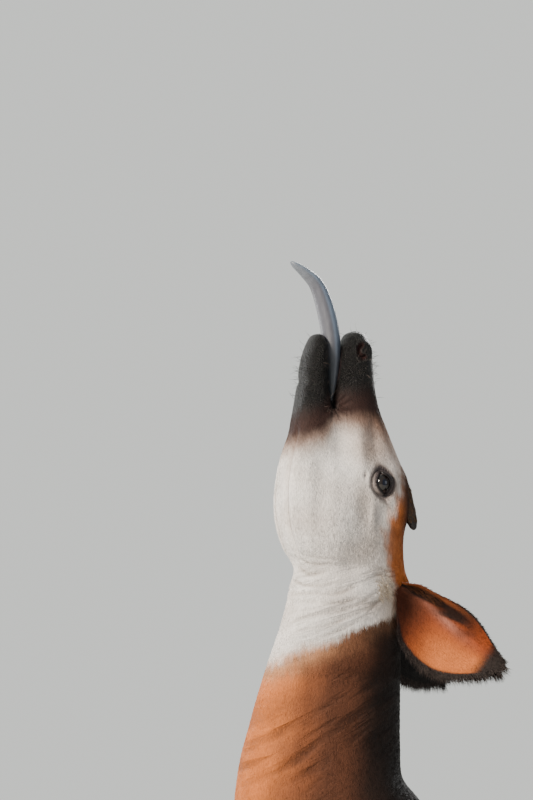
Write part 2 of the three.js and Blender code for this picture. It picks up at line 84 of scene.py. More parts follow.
def step_at(step, z):
    """How far a step carries a leg at a height: all of it at the floor, none above 1050."""
    return step * smooth(1050 - z, 0, 1050)


def loft(table, around, rows, side=1, step=0.0, grow=0.0):
    """A body form as rings along a path in the X-Z plane, as points[row, around].

    A table row is x, y, z, back, front, side, square, egg: the middle of the ring, how far
    it reaches to the back, the front and the sides, the power of its superellipse and how
    much wider its back half is. grow thickens it all round.
    """
    last = len(table) - 1
    s = np.linspace(0, last, rows)
    ahead = blend_rows(table, np.minimum(s + 0.02, last))
    run = unit((ahead - blend_rows(table, np.maximum(s - 0.02, 0)))[:, [0, 2]])
    x, y, z, back, front, half, square, egg = blend_rows(table, s).T[..., None]
    angle = np.linspace(0, 2 * np.pi, around, endpoint=False)[None]
    cos, sin = np.cos(angle), np.sin(angle)
    deep = np.maximum(np.where(cos > 0, back, front) + grow, 1)
    wide = np.maximum(half + grow, 1)
    up = deep * np.sign(cos) * np.abs(cos) ** (2 / square)
    out = wide * np.sign(sin) * np.abs(sin) ** (2 / square) * (1 + egg * cos)
    along_x = x + step_at(step, z) - run[:, 1:] * up
    return np.stack([along_x, side * y + out, z + run[:, :1] * up], axis=-1)


def tube(points):
    """(points, triangles) of the closed surface through rings, its ends closed by fans."""
    rows, around = points.shape[:2]
    i = np.arange(around)
    a = np.arange(rows - 1)[:, None] * around + i
    b = np.arange(rows - 1)[:, None] * around + (i + 1) % around
    walls = np.stack([a, a + around, b, b, a + around, b + around], axis=-1).reshape(-1, 3)
    first, end = rows * around, (rows - 1) * around
    caps = [np.stack([np.full(around, first), i, (i + 1) % around], axis=1)]
    caps.append(np.stack([np.full(around, first + 1), end + (i + 1) % around, end + i], axis=1))
    middles = points[[0, -1]].mean(1)
    return np.concatenate([points.reshape(-1, 3), middles]), np.concatenate([walls, *caps])


TRUNK = [
    (-300, 0, 1170, 40, 45, 40, 2, 0),
    (-280, 0, 1176, 118, 112, 102, 2, 0),
    (-205, 0, 1190, 212, 206, 156, 2, 0),
    (-85, 0, 1198, 268, 262, 192, 2, -0.08),
    (50, 0, 1205, 288, 290, 218, 2, -0.14),
    (180, 0, 1210, 290, 312, 240, 2, -0.16),
    (350, 0, 1190, 272, 312, 262, 2, -0.12),
    (505, 0, 1185, 262, 280, 256, 2, -0.08),
    (645, 0, 1188, 246, 220, 226, 2, -0.04),
    (765, 0, 1195, 200, 185, 180, 2, 0),
    (842, 0, 1190, 134, 130, 122, 2, 0),
    (884, 0, 1180, 60, 65, 58, 2, 0),
]
NECK = [
    (-60, 0, 2045, 60, 60, 50, 2, 0),
    (-58, 0, 1995, 118, 112, 70, 2, 0),
    (-58, 0, 1940, 128, 118, 78, 2, -0.05),
    (-66, 0, 1875, 128, 126, 82, 2, -0.08),
    (-76, 0, 1810, 136, 138, 87, 2, -0.1),
    (-86, 0, 1745, 145, 149, 94, 2, -0.1),
    (-97, 0, 1675, 156, 158, 103, 2, -0.08),
    (-106, 0, 1605, 168, 168, 116, 2, -0.05),
    (-104, 0, 1535, 206, 182, 130, 2, 0),
    (-95, 0, 1460, 246, 208, 146, 2, 0),
    (-88, 0, 1380, 245, 230, 158, 2, 0),
    (-84, 0, 1300, 215, 240, 164, 2, 0),
    (-80, 0, 1215, 170, 236, 156, 2, 0),
    (-78, 0, 1130, 120, 215, 125, 2, 0),
    (-78, 0, 1070, 50, 120, 70, 2, 0),
]
trunk = [tube(loft(table, 80, 160, grow=-3)) for table in (TRUNK, NECK)]


# Head
# The long skull, the lower jaw beneath it and the fleshy cheek between them: bone under thin
# flesh. Round mounds stand for the brows, the wings of the nostrils and the roots of the ears.
SKULL = [
    (-36, 0, 2468, 7, 7, 10, 2, 0),
    (-36, 0, 2461, 22, 21, 30, 2, 0),
    (-37, 0, 2443, 31, 29, 42, 2, 0),
    (-38, 0, 2415, 36, 35, 46, 2.2, 0),
    (-38, 0, 2380, 39, 43, 44, 2.2, 0),
    (-39, 0, 2345, 45, 48, 44, 2.2, 0),
    (-40, 0, 2310, 55, 60, 49, 2.2, 0),
    (-40, 0, 2262, 74, 80, 58, 2.3, 0),
    (-41, 0, 2212, 94, 98, 72, 2.4, 0.06),
    (-42, 0, 2169, 108, 108, 82, 2.5, 0.08),
    (-43, 0, 2120, 108, 112, 83, 2.5, 0.05),
    (-44, 0, 2070, 104, 112, 80, 2.4, 0),
    (-45, 0, 2010, 108, 110, 76, 2.2, 0),
    (-46, 0, 1950, 118, 104, 74, 2, 0),
    (-50, 0, 1885, 90, 80, 60, 2, 0),
]
JAW = [
    (-112, 0, 2461, 6, 7, 10, 2, 0),
    (-112, 0, 2455, 13, 15, 25, 2, 0),
    (-114, 0, 2436, 19, 22, 35, 2, 0),
    (-117, 0, 2405, 23, 28, 40, 2, 0),
    (-120, 0, 2366, 27, 32, 42, 2.3, 0),
    (-122, 0, 2318, 36, 38, 46, 2.5, 0),
    (-125, 0, 2264, 60, 46, 54, 2.7, 0),
    (-128, 0, 2212, 75, 59, 63, 2.9, 0),
    (-128, 0, 2169, 80, 66, 69, 3, 0),
    (-128, 0, 2122, 85, 67, 74, 3, 0),
    (-125, 0, 2080, 85, 63, 74, 2.8, 0),
    (-118, 0, 2038, 80, 56, 69, 2.5, 0),
    (-110, 0, 1995, 55, 38, 52, 2, 0),
]
CHEEK = [
    (-86, 0, 2322, 16, 14, 30, 2, 0),
    (-87, 0, 2302, 36, 32, 43, 2, 0),
    (-88, 0, 2258, 54, 52, 54, 2, 0),
    (-88, 0, 2205, 70, 68, 68, 2.2, 0),
    (-88, 0, 2145, 82, 78, 80, 2.2, 0),
    (-88, 0, 2080, 84, 76, 82, 2.2, 0),
    (-86, 0, 2020, 72, 64, 75, 2, 0),
    (-84, 0, 1965, 44, 42, 55, 2, 0),
]


def ball(middle, half, segments=40, turn=0.0):
    """(points, triangles) of an ellipsoid, turned about the Y axis.

    Sines and cosines of a tilt and an angle give the ways, which the half sizes stretch.
    """
    tilt = np.linspace(0.04, np.pi - 0.04, segments // 2)[:, None]
    angle = np.linspace(0, 2 * np.pi, segments, endpoint=False)[None]
    ways = (np.sin(tilt) * np.cos(angle), np.sin(tilt) * np.sin(angle), np.cos(tilt))
    spun = np.stack(np.broadcast_arrays(*ways), axis=-1) * half
    cos, sin = np.cos(turn), np.sin(turn)
    x = cos * spun[..., 0] + sin * spun[..., 2]
    z = cos * spun[..., 2] - sin * spun[..., 0]
    return tube(np.stack([x, spun[..., 1], z], axis=-1) + middle)


head = [tube(loft(table, 72, 140, grow=-1.5)) for table in (SKULL, JAW, CHEEK)]
mounds = []
for side in (-1, 1):
    mounds.append(ball([22, 40 * side, 2146], [42, 34, 80], turn=-0.1))
    mounds.append(ball([-26, 32 * side, 2424], [16, 14, 25]))
    mounds.append(ball([46, 32 * side, 1972], [23, 20, 32]))


# Tail
# The thin bony tail. It grows out of the top of the haunches and hangs down to the hocks, and
# its long tuft follows with the other long hair.
TAIL = [
    (822, 0, 1318, 30, 30, 34, 2, 0),
    (880, 0, 1300, 30, 30, 34, 2, 0),
    (918, 0, 1248, 22, 24, 27, 2, 0),
    (934, 0, 1165, 16, 17, 20, 2, 0),
    (939, 0, 1085, 13, 13, 16, 2, 0),
    (940, 0, 1015, 11, 11, 13, 2, 0),
    (940, 0, 955, 8, 8, 9, 2, 0),
    (940, 0, 895, 3, 3, 4, 2, 0),
]
tail = tube(loft(TAIL, 72, 140, grow=-1.5))


# Legs
# Slim legs of bone and sinew, from shoulder or thigh over knee or hock to the fetlock. They go
# down into their hooves, and the feet stand a little apart.
FORELEG = [
    (-32, 95, 1370, 60, 60, 28, 2, 0),
    (-47, 120, 1300, 125, 120, 60, 2, 0),
    (-77, 142, 1190, 155, 160, 78, 2, 0),
    (-87, 150, 1090, 150, 155, 80, 2, 0),
    (-72, 148, 990, 122, 112, 74, 2, 0),
    (-56, 142, 905, 90, 72, 62, 2, 0),
    (-60, 138, 820, 60, 58, 50, 2, 0),
    (-66, 136, 720, 46, 50, 42, 2, 0),
    (-70, 134, 610, 38, 42, 36, 2, 0),
    (-72, 132, 530, 38, 42, 38, 2, 0),
    (-72, 132, 480, 42, 44, 41, 2, 0),
    (-68, 131, 425, 34, 31, 32, 2, 0),
    (-66, 130, 340, 27, 24, 24, 2, 0),
    (-66, 130, 240, 27, 24, 24, 2, 0),
    (-68, 130, 165, 38, 31, 32, 2, 0),
    (-80, 130, 110, 30, 28, 31, 2, 0),
    (-94, 130, 66, 42, 38, 42, 2, 0),
    (-102, 130, 30, 44, 40, 43, 2, 0),
]
HINDLEG = [
    (667, 92, 1345, 60, 70, 30, 2, 0),
    (654, 118, 1275, 150, 150, 78, 2, 0),
    (640, 138, 1175, 222, 188, 106, 2, 0),
    (632, 142, 1065, 222, 190, 110, 2, 0),
    (622, 143, 955, 178, 165, 97, 2, 0),
    (622, 143, 850, 112, 124, 76, 2, 0),
    (646, 141, 745, 72, 76, 56, 2, 0),
    (677, 139, 640, 52, 50, 42, 2, 0),
    (696, 138, 560, 60, 43, 38, 2, 0),
    (696, 137, 500, 50, 40, 36, 2, 0),
    (684, 136, 420, 33, 30, 27, 2, 0),
    (674, 136, 320, 28, 26, 24, 2, 0),
    (668, 136, 225, 29, 27, 25, 2, 0),
    (664, 136, 160, 38, 32, 33, 2, 0),
    (650, 136, 106, 30, 28, 31, 2, 0),
    (634, 136, 64, 42, 38, 42, 2, 0),
    (626, 136, 30, 44, 40, 43, 2, 0),
]
# Each leg's rings, its side and how far its foot is set back.
LEGS = [(FORELEG, -1, -35), (FORELEG, 1, 40), (HINDLEG, -1, 45), (HINDLEG, 1, -50)]


def coronet(x, foot):
    """Height of the top edge of a hoof: a straight line that falls from front to back."""
    return 70 - 0.22 * (x - foot + 50)


def leg_form(table, side, step):
    """A leg that goes down into its hooves, where it is thinner."""
    rings = loft(table, 48, 150, side, step, grow=-3)
    middle = rings.mean(1, keepdims=True)
    inside = smooth(coronet(rings[..., 0], table[-2][0] + step) - rings[..., 2], -6, 6)
    return tube(middle + (rings - middle) * (1 - inside[..., None] * [0.24, 0.24, 0]))


legs = [leg_form(*leg) for leg in LEGS]


# Skin
# The hide of head, neck, trunk, legs and tail, without a seam. It lies inside the solids by
# the depth of the coat, so that the tufts reach about as far out as the solids do. The markings
# are in its hair, and it is bare and moist at the nose, the lips and the lids.

# The eye ties the animal's frame to the part's: its node is a ball round this point.
EYE = np.array([-4.0, -65.0, 2169.0])
eye_low, eye_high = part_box("eye_left")
SHIFT = np.array((eye_low + eye_high) / 2) * 1000 - EYE


def together(parts):
    """Several (points, triangles) as one."""
    start = np.cumsum([0] + [len(p) for p, _ in parts[:-1]])
    points = np.concatenate([p for p, _ in parts])
    return points, np.concatenate([t + k for (_, t), k in zip(parts, start)])


def facing(points, triangles):
    """Normal and twice the area of each triangle: way and length of its edges' cross product."""
    a, b, c = points[triangles].transpose(1, 0, 2)
    cross = np.cross(b - a, c - a)
    return unit(cross), np.linalg.norm(cross, axis=1)


def normals_of(points, triangles):
    """The normal at each point: the mean of its triangles' by area."""
    normal, area = facing(points, triangles)
    total = np.zeros_like(points)
    for corner in range(3):
        np.add.at(total, triangles[:, corner], normal * area[:, None])
    return unit(total)


def mesh_of(name, points, triangles):
    """A smooth mesh from arrays of points and triangles."""
    mesh = bpy.data.meshes.new(name)
    mesh.vertices.add(len(points))
    mesh.vertices.foreach_set("co", points.astype(np.float32).ravel())
    mesh.loops.add(triangles.size)
    mesh.loops.foreach_set("vertex_index", triangles.astype(np.int32).ravel())
    mesh.polygons.add(len(triangles))
    mesh.polygons.foreach_set("loop_start", np.arange(0, triangles.size, 3, dtype=np.int32))
    mesh.update(calc_edges=True)
    mesh.polygons.foreach_set("use_smooth", np.ones(len(triangles), bool))
    return mesh


def through(points, triangles, kind, eased=None, **settings):
    """Points and triangles after a modifier. Points that aren't eased are left alone."""
    mesh = mesh_of("draft", points, triangles)
    draft = bpy.data.objects.new("draft", mesh)
    bpy.context.scene.collection.objects.link(draft)
    change = draft.modifiers.new("change", kind)
    for key, value in settings.items():
        setattr(change, key, value)
    if eased is not None:
        draft.vertex_groups.new(name="eased").add(np.flatnonzero(eased).tolist(), 1.0, "REPLACE")
        change.vertex_group = "eased"
    bpy.context.view_layer.update()
    solved = draft.evaluated_get(bpy.context.evaluated_depsgraph_get())
    result = solved.to_mesh()
    result.calc_loop_triangles()
    places = np.empty(len(result.vertices) * 3, np.float32)
    result.vertices.foreach_get("co", places)
    corners = np.empty(len(result.loop_triangles) * 3, np.int32)
    result.loop_triangles.foreach_get("vertices", corners)
    solved.to_mesh_clear()
    bpy.data.objects.remove(draft)
    bpy.data.meshes.remove(mesh)
    return places.reshape(-1, 3).astype(float), corners.reshape(-1, 3).astype(np.int64)


def relax(points, triangles, amount, rounds):
    """Moves points towards the mean of their neighbours, by an amount each round."""
    start, end = triangles.ravel(), np.roll(triangles, -1, axis=1).ravel()
    count = np.maximum(np.bincount(start, minlength=len(points)), 1)[:, None]
    for _ in range(rounds):
        total = [np.bincount(start, points[end, k], len(points)) for k in range(3)]
        points = points + (np.stack(total, axis=1) / count - points) * amount[:, None]
    return points


def refine(points, triangles, chosen):
    """Halves the edges whose two ends are chosen, and splits their triangles."""
    ends = np.sort(np.stack([triangles, np.roll(triangles, -1, axis=1)], axis=-1), axis=-1)
    keys = ends[..., 0] * len(points) + ends[..., 1]
    unique, where = np.unique(keys.ravel(), return_inverse=True)
    pair = np.stack([unique // len(points), unique % len(points)], axis=1)
    split = chosen[pair].all(1)
    number = np.where(split, len(points) + np.cumsum(split) - 1, -1)
    middle = number[where.reshape(-1)].reshape(-1, 3)
    points = np.concatenate([points, points[pair[split]].mean(1)])
    cut = (middle >= 0).sum(1)
    made = [triangles[cut == 0]]
    (a, b, c), (ab, bc, ca) = triangles[cut == 3].T, middle[cut == 3].T
    for three in ((a, ab, ca), (ab, b, bc), (ca, bc, c), (ab, bc, ca)):
        made.append(np.stack(three, axis=1))
    for k in range(3):
        rows = (cut == 1) & (middle[:, k] >= 0)
        a, b, c = np.roll(triangles[rows], -k, axis=1).T
        half = middle[rows, k]
        made += [np.stack([a, half, c], axis=1), np.stack([half, b, c], axis=1)]
    return points, np.concatenate(made)


def away_from(p, middle, half):
    """Places less a middle, over the half sizes, with both sides of the animal alike."""
    return (np.stack([p[:, 0], np.abs(p[:, 1]), p[:, 2]], axis=1) - middle) / half


def near(p, middle, half):
    """True inside a ball of those half sizes: where the squares add up to less than 1."""
    return (away_from(p, middle, half) ** 2).sum(1) < 1


def bell(value, middle, width):
    """1 at the middle, about a third at one width from it: e to minus the square of the way."""
    return np.exp(-(((value - middle) / width) ** 2))


def spot(p, middle, half):
    """A soft ball: 1 at the middle, about a third at the half sizes, by a bell's formula."""
    return np.exp(-(away_from(p, middle, half) ** 2).sum(1))


def ripple(p, size, seed):
    """Smooth uneven waves of about that size, from -1 to 1: a sum of six turned sines."""
    draw = np.random.default_rng(seed)
    way = draw.normal(size=(6, 3))
    way /= np.linalg.norm(way, axis=1, keepdims=True)
    pitch = draw.uniform(0.7, 1.6, 6) * 2 * np.pi / (2.2 * size)
    phase = draw.uniform(0, 2 * np.pi, 6)
    return np.sin(p @ (way * pitch[:, None]).T + phase).sum(1) / 3.2


def mix(a, b, amount):
    """a plus its way to b times the amount, for each place."""
    return a + (b - a) * np.asarray(amount)[..., None]


# Half sizes of the opening of the eye, across and along the head, and its tilt to the brow.
LENS = (14.5, 21.5)
TILT = 0.2


def almond(p):
    """Distance from the line of sight of the eye, as a part of the way to the lids' edge.

    The edge is two arcs that meet in points at the front and the back of the eye.
    """
    x, z = p[:, 0] - EYE[0], p[:, 2] - EYE[2]
    across = np.abs(x * np.cos(TILT) + z * np.sin(TILT)) / LENS[0]
    along = (z * np.cos(TILT) - x * np.sin(TILT)) / LENS[1]
    return (across + np.sqrt(across**2 + 4 * along**2)) / 2


def creases(p):
    """The throat's lines, how finely the skin is wrinkled there, and how broadly on the neck.

    The lines are a sine of the angle about the root of the ear, and twice as many far from it.
    """
    x, y, z = p.T
    broad = np.clip(0.7 + 0.9 * ripple(p, 90, 6), 0, 1) * smooth(z, 1480, 1580)
    broad = broad * (1 - smooth(z - 0.35 * x, 1810, 1890))
    turn = np.arctan2(z - 1985, 75 - x)
    far = np.hypot(z - 1985, 75 - x)
    phase = 36 * turn + 1.6 * ripple(p, 45, 9) + 1.4 * ripple(p, 110, 10)
    one, two = 0.5 + 0.5 * np.sin(phase), 0.5 + 0.5 * np.sin(2 * phase)
    wave = one + (two - one) * smooth(far, 90, 160)
    upper = 0.05 + 0.75 * smooth(90 - far, 0, 60)
    fan = smooth(turn, -0.66, -0.5) * (1 - smooth(turn, upper, upper + 0.25)) * smooth(x, -200, -150)
    fan = fan * (1 - smooth(x, 30, 60)) * smooth(far, 25, 50)
    lines = wave**3 * fan * np.clip(0.55 + 0.8 * ripple(p, 50, 13), 0, 1)
    return lines * (z > 1700), fan * (z > 1700), broad


def nostril(p):
    """Distance in millimetres from the slit of the nostril, which curls round its wing.

    The slit is an arc of 3.2 radians at 8.5 mm. Past its end the way along is added.
    """
    x, z = p[:, 0] + 33, (p[:, 2] - 2426) * 0.72
    along = (np.arctan2(z, x) - 1.8) % (2 * np.pi)
    past = np.minimum(np.maximum(along - 3.2, 0), 2 * np.pi - along)
    return np.hypot(np.hypot(x, z) - 8.5, 8.5 * np.where(along > 3.2, past, 0))


def mouth_slit(p):
    """Distance from the slit that goes on below the opening of the mouth: a short line."""
    return np.hypot(p[:, 0] + 88.5, np.maximum(np.abs(p[:, 2] - 2340) - 22, 0))


def jaw_edges(p):
    """How far a place is from the middle to the jaw's edge, and if it lies under the jaw.

    The first is its side over half the jaw's width there, the second a soft step from 0 to 1.
    """
    x, y, z = p.T
    half = np.interp(z, [2000, 2040, 2122, 2212, 2318], [50, 64, 73, 64, 46])
    under = smooth(-150 - x, 0, 16) * smooth(z, 1995, 2050) * (1 - smooth(z, 2250, 2300))
    return np.abs(y) / half, under


def detailed(p):
    """True near an eye, a nostril or a corner of the mouth."""
    eye = near(p, [-4, 80, 2169], [30, 40, 36])
    nose = near(p, [-30, 45, 2434], [26, 30, 34])
    return eye | nose | near(p, [-90, 45, 2325], [22, 30, 40])


# The size of a cell of the remeshed skin, and the number of faces away from head and feet.
CELL = 4.5
PLAIN_FACES = 34000
forms = [*trunk, *head, tail, *mounds, *legs]
skin, faces = through(*together(forms), "REMESH", mode="VOXEL", voxel_size=CELL)

# Where one form meets the next, the skin is drawn tight over the gap.
x, y, z = skin.T
trunk_part = smooth(z, 740, 900) * (1 - smooth(z, 1480, 1600)) * (1 - smooth(x, 850, 890))
skin = relax(skin, faces, 0.6 * trunk_part, 60)
throat_part = smooth(z, 1480, 1600) * (1 - smooth(z, 2040, 2120))
skin = relax(skin, faces, 0.6 * throat_part, 36)
cheek_part = smooth(z, 2000, 2060) * (1 - smooth(z, 2290, 2340))
skin = relax(skin, faces, 0.5 * cheek_part + 0.05, 16)

# The head and the feet keep their faces, and the rest has fewer.
z = skin[:, 2]
kept = (z > 1780) | (z > 105) & (z < 215)
ratio = (kept[faces].all(1).sum() + PLAIN_FACES) / len(faces)
skin, faces = through(skin, faces, "DECIMATE", eased=~kept, ratio=ratio)
x, y, z = skin.T
skin, faces = refine(skin, faces, (z > 2285) | (z > 2085) & (x > -75))
skin = relax(skin, faces, 0.5 * smooth(skin[:, 2], 2060, 2090), 2)
skin, faces = refine(skin, faces, detailed(skin))
skin = relax(skin, faces, 0.5 * detailed(skin), 1)

# Each row is a soft swelling or hollow: x, side, z, half sizes and rise along the normal.
SWELLINGS = [
    (-100, 80, 2115, 42, 40, 58, 5),
    (-44, 75, 2232, 11, 40, 60, 4),
    (-12, 55, 2262, 15, 40, 50, -6),
    (-80, 60, 2262, 20, 40, 55, -7),
    (-150, 60, 2150, 14, 40, 90, 2.5),
    (-2, 80, 2108, 17, 30, 20, -5),
    (30, 70, 2120, 14, 40, 24, 3),
    (20, 72, 2174, 9, 30, 28, 3),
    (-30, 80, 2166, 8, 30, 24, 1.8),
    (-26, 82, 2104, 8, 30, 34, 2.5),
    (-122, 60, 2064, 28, 40, 38, 3),
    (-205, 0, 2160, 45, 26, 120, -7),
    (-118, 34, 2425, 16, 30, 30, 2),
    (-148, 20, 2368, 7, 40, 9, -3),
    (-40, 80, 2183, 3, 30, 6, -4),
    (-62, 80, 2004, 36, 40, 18, -9),
    (-40, 80, 2120, 16, 40, 44, -3),
    (-10, 85, 1990, 24, 40, 18, -8),
    (-30, 85, 1955, 40, 40, 14, 3),
    (-75, 85, 2060, 45, 40, 26, 3),
    (-168, 0, 2006, 34, 60, 40, -5),
    (-62, 36, 2440, 11, 20, 22, 2),
    (-100, 30, 2430, 9, 20, 24, 1.6),
    (-138, 0, 2404, 16, 28, 34, 2.5),
    (-150, 60, 1660, 17, 40, 230, -4),
    (-20, 100, 1640, 30, 40, 200, 3),
    (-60, 210, 1290, 22, 70, 115, 6),
    (100, 230, 1180, 40, 70, 150, -8),
    (-205, 120, 1150, 45, 60, 50, 8),
    (35, 175, 985, 30, 40, 40, 7),
    (470, 230, 1270, 45, 60, 90, -12),
    (548, 150, 1400, 30, 60, 30, 9),
    (505, 190, 1010, 35, 50, 55, 8),
    (722, 200, 1020, 22, 60, 130, -6),
    (-230, 0, 1100, 60, 50, 60, 7),
    (300, 0, 1480, 420, 14, 60, 4),
    (-20, 0, 1480, 90, 22, 60, 7),
]
out = normals_of(skin, faces)
x, y, z = skin.T
side = np.sign(y)
rise = sum(row[6] * spot(skin, row[:3], row[3:6]) for row in SWELLINGS)
lines, creased, folded = creases(skin)
rise -= 2.0 * lines
# The lower edges of the jaw stand out from the skin between them.
to_edge, under = jaw_edges(skin)
rise += under * (3.5 * bell(to_edge, 0.78, 0.12) - 6.5 * bell(to_edge, 0.52, 0.12))
# Wrinkles that spread from the corners of the mouth.
corner = np.hypot(x + 89, z - 2322)
spread = np.sin(11 * np.arctan2(x + 89, z - 2322) + 3 * ripple(skin, 30, 7))
rise += 1.3 * spread * bell(corner, 18, 13) * (np.abs(y) > 20)
rise -= 6.5 * bell(mouth_slit(skin), 0, 3) * (np.abs(y) > 15)
# Nostrils: a deep slit with a raised edge.
NOSE = ([-30, 46, 2434], [24, 22, 32])
apart = nostril(skin)
wing = np.hypot(x + 31, (z - 2426) * 0.72)
at_nose = near(skin, *NOSE)
rise += at_nose * (1.2 * bell(apart, 6, 3) + 1.4 * bell(wing, 0, 5) - 7.5 * bell(apart, 0, 2.8))
skin = skin + out * rise[:, None]

# Lids: inside their edge the skin folds back behind the eye, outside it lies on the ball.
# BALL is the radius that the lids clear, and depth how far the eye lies to the side.
BALL, depth = 21.0, -EYE[1]
part = almond(skin)
at_eye = (part < 2.6) & (np.abs(skin[:, 1]) > 50)
away = skin - EYE * [1, 0, 1]
angle = np.arctan2(away[:, 2] / 19.5, away[:, 0] / 13.5)
opened = np.where(at_eye & (part < 1) & (part > 0.05), 1 / np.maximum(part, 0.05), 1)
skin[:, 0] = EYE[0] + away[:, 0] * opened
skin[:, 2] = EYE[2] + away[:, 2] * opened
reach = np.hypot(skin[:, 0] - EYE[0], skin[:, 2] - EYE[2])
thick = BALL + 2.0 + 1.6 * smooth(part, 1, 1.5) + 0.6 * bell(part, 1.22, 0.2)
thick -= 1.5 * bell(part, 1.56, 0.1) * (1 + 0.6 * np.cos(angle))
over_ball = depth + np.sqrt(np.maximum(thick**2 - reach**2, 4))
wall = depth + 12 * smooth(part, 0.2, 1.0) - 6
lid = np.where(part < 1, wall + (over_ball - wall) * smooth(part, 0.55, 1.0), over_ball)
blend = 1 - smooth(part, 1.15, 2.1)
height = np.abs(skin[:, 1]) + (lid - np.abs(skin[:, 1])) * blend
skin[:, 1] = np.where(at_eye, side * height, skin[:, 1])
out = normals_of(skin, faces)


def bands_at(p):
    """The pale bands of haunches and upper legs: their phase, width and strength at points.

    The phase rises by one a band with the height, and sways. The coat is pale where its sine
    passes the width.
    """
    x, y, z = p.T
    hind = x > 330
    front = np.interp(z, [640, 800, 900, 1000, 1100, 1200], [480, 500, 560, 600, 680, 790])
    outer = np.maximum(smooth(np.abs(y), 65, 90), smooth(860 - z, 0, 30))
    fore = smooth(1000 - z, 0, 70) * (1 - smooth(x, 5, 40)) * outer
    reach = np.where(hind, smooth(x, front - 30, front + 60), fore)
    sway = 14 * ripple(p, 150, 14) + 6 * ripple(p, 62, 17)
    phase = (z + 0.16 * np.abs(x - 640) + sway) / np.where(hind, 45, 39)
    wide = np.where(hind, 0.35, 0.3) - 0.6 * smooth(900 - z, 0, 280) + 0.5 * ripple(p, 70, 16)
    top = np.where(hind, smooth(1235 - z, 0, 40), 1)
    return phase, wide, reach * top * smooth(z, 560, 620) * (np.abs(y) > 20)


def rgb(text):
    """An sRGB hex colour as linear numbers: its parts over 255, and then a power of 2.4."""
    s = np.array([int(text[i : i + 2], 16) for i in (0, 2, 4)]) / 255
    return np.where(s <= 0.04045, s / 12.92, ((s + 0.055) / 1.055) ** 2.4)


def dark_coat(p, turn, broad):
    """Chocolate on the trunk, and on the neck a tone that goes with turn.

    Soft steps lead from orange at the throat over red-brown to nearly black at the nape, partly the
    coat's own tones and partly painted light and shade: lighter on the lit throat, darker on the shaded
    nape.
    """
    z = p[:, 2]
    warmth = np.clip(0.4 + 0.14 * broad + 0.1 * smooth(z, 1100, 1500), 0, 1)
    # Partly painted light and shade: the throat side is lighter as if lit, the nape darker as if in
    # shade.
    neck = mix(rgb("c06c34"), rgb("854c2c"), smooth(turn, -1.0, -0.6))
    neck = mix(neck, rgb("5a3523"), smooth(turn, -0.75, -0.2))
    neck = mix(neck, rgb("25160f"), smooth(turn, 0.0, 0.48))
    neck = mix(neck, rgb("150e0c"), smooth(turn, 0.45, 0.9))
    return mix(mix(rgb("1f110c"), rgb("371c11"), warmth), neck, smooth(z, 1330, 1600))


def leg_marks(colour, p, fine, broad, banded):
    """Bands, cream shanks with dark shins and knees, dark garters, and the tail's dark end.

    Each is a soft step or a bell of the height, where the leg or the tail is.
    """
    x, y, z = p.T
    side = np.abs(y)
    leg = side > 20
    hind = x > 330
    dark = rgb("33211a")
    cream = mix(rgb("d8cbbd"), rgb("e9e2d9"), 0.5 + 0.5 * broad)
    if banded:
        phase, wide, strength = bands_at(p)
        colour = mix(colour, cream, smooth(np.sin(2 * np.pi * phase) - wide, 0, 0.3) * strength)
    low = smooth(640 - z, 0, 60) * leg
    colour = mix(colour, cream, low)
    back = np.array([step for _, _, step in LEGS])[2 * hind + (y >= 0)]
    shin = np.where(hind, 690, -76) + back * step_at(1, z)
    line = smooth(shin - x, 6, 16) * bell(side, 131, 10) * smooth(z, 170, 260)
    colour = mix(colour, dark, low * line * ~hind * smooth(640 - z, 0, 30))
    knee = bell(z, np.where(hind, 560, 500) + 6 * fine, 30) * smooth(shin - x, 0, 20)
    colour = mix(colour, dark, 0.8 * low * knee)
    garter = bell(z + 3 * fine, 158, 30) ** 0.5 * smooth(z, 108, 130) * smooth(215 - z, 0, 30)
    colour = mix(colour, rgb("2a1a15"), leg * np.clip(1.2 * garter, 0, 1) * (z < 230))
    colour = mix(colour, rgb("4a3328"), smooth(84 - z, 0, 16) * leg)
    return mix(colour, rgb("201512"), smooth(x, 880, 915) * smooth(1180 - z, 0, 150))


def white_throat(colour, p, turn, fine, broad, streak, lines):
    """White above an edge that rises to the nape, uneven by the ripples, with painted shade in its
    creases and along the groove inside each lower edge of the jaw.
    """
    x, y, z = p.T
    edge = 1830 + (x + 200) * 77 / 210 + 2.5 * streak + 3 * fine + 7 * broad
    white = mix(rgb("e2d9d3"), rgb("f1ece8"), 0.5 + 0.5 * broad)
    white = mix(white, rgb("cdbfb2"), smooth(turn, 0.2, 0.7) * (z < 2050))
    # Painted shade: the white is darkened along the throat's creases.
    white = mix(white, rgb("8d7a6b"), 0.6 * lines)
    throat = 1 - smooth(turn, -0.7, -0.1)
    wide = 8 + 8 * throat
    colour = mix(colour, rgb("b5825f"), (0.2 + 0.8 * throat) * bell(z, edge - 10, 22))
    colour = mix(colour, white, smooth(z, edge - wide, edge + wide))
    to_edge, under = jaw_edges(p)
    # Painted shade: a grey line along the groove inside the raised lower edge of each jaw.
    return mix(colour, rgb("9d8f86"), 0.8 * under * bell(to_edge, 0.55, 0.08))


# The edge of the brown of nose, forehead and nape: heights, and how far back it lies there.
BROWN_HEIGHTS = [1800, 1880, 1966, 2004, 2040, 2080, 2115, 2150, 2190, 2230, 2300, 2340]
BROWN_EDGE = [34, 40, 24, 12, 2, 0, 14, 29, 37, 31, 0, -22]
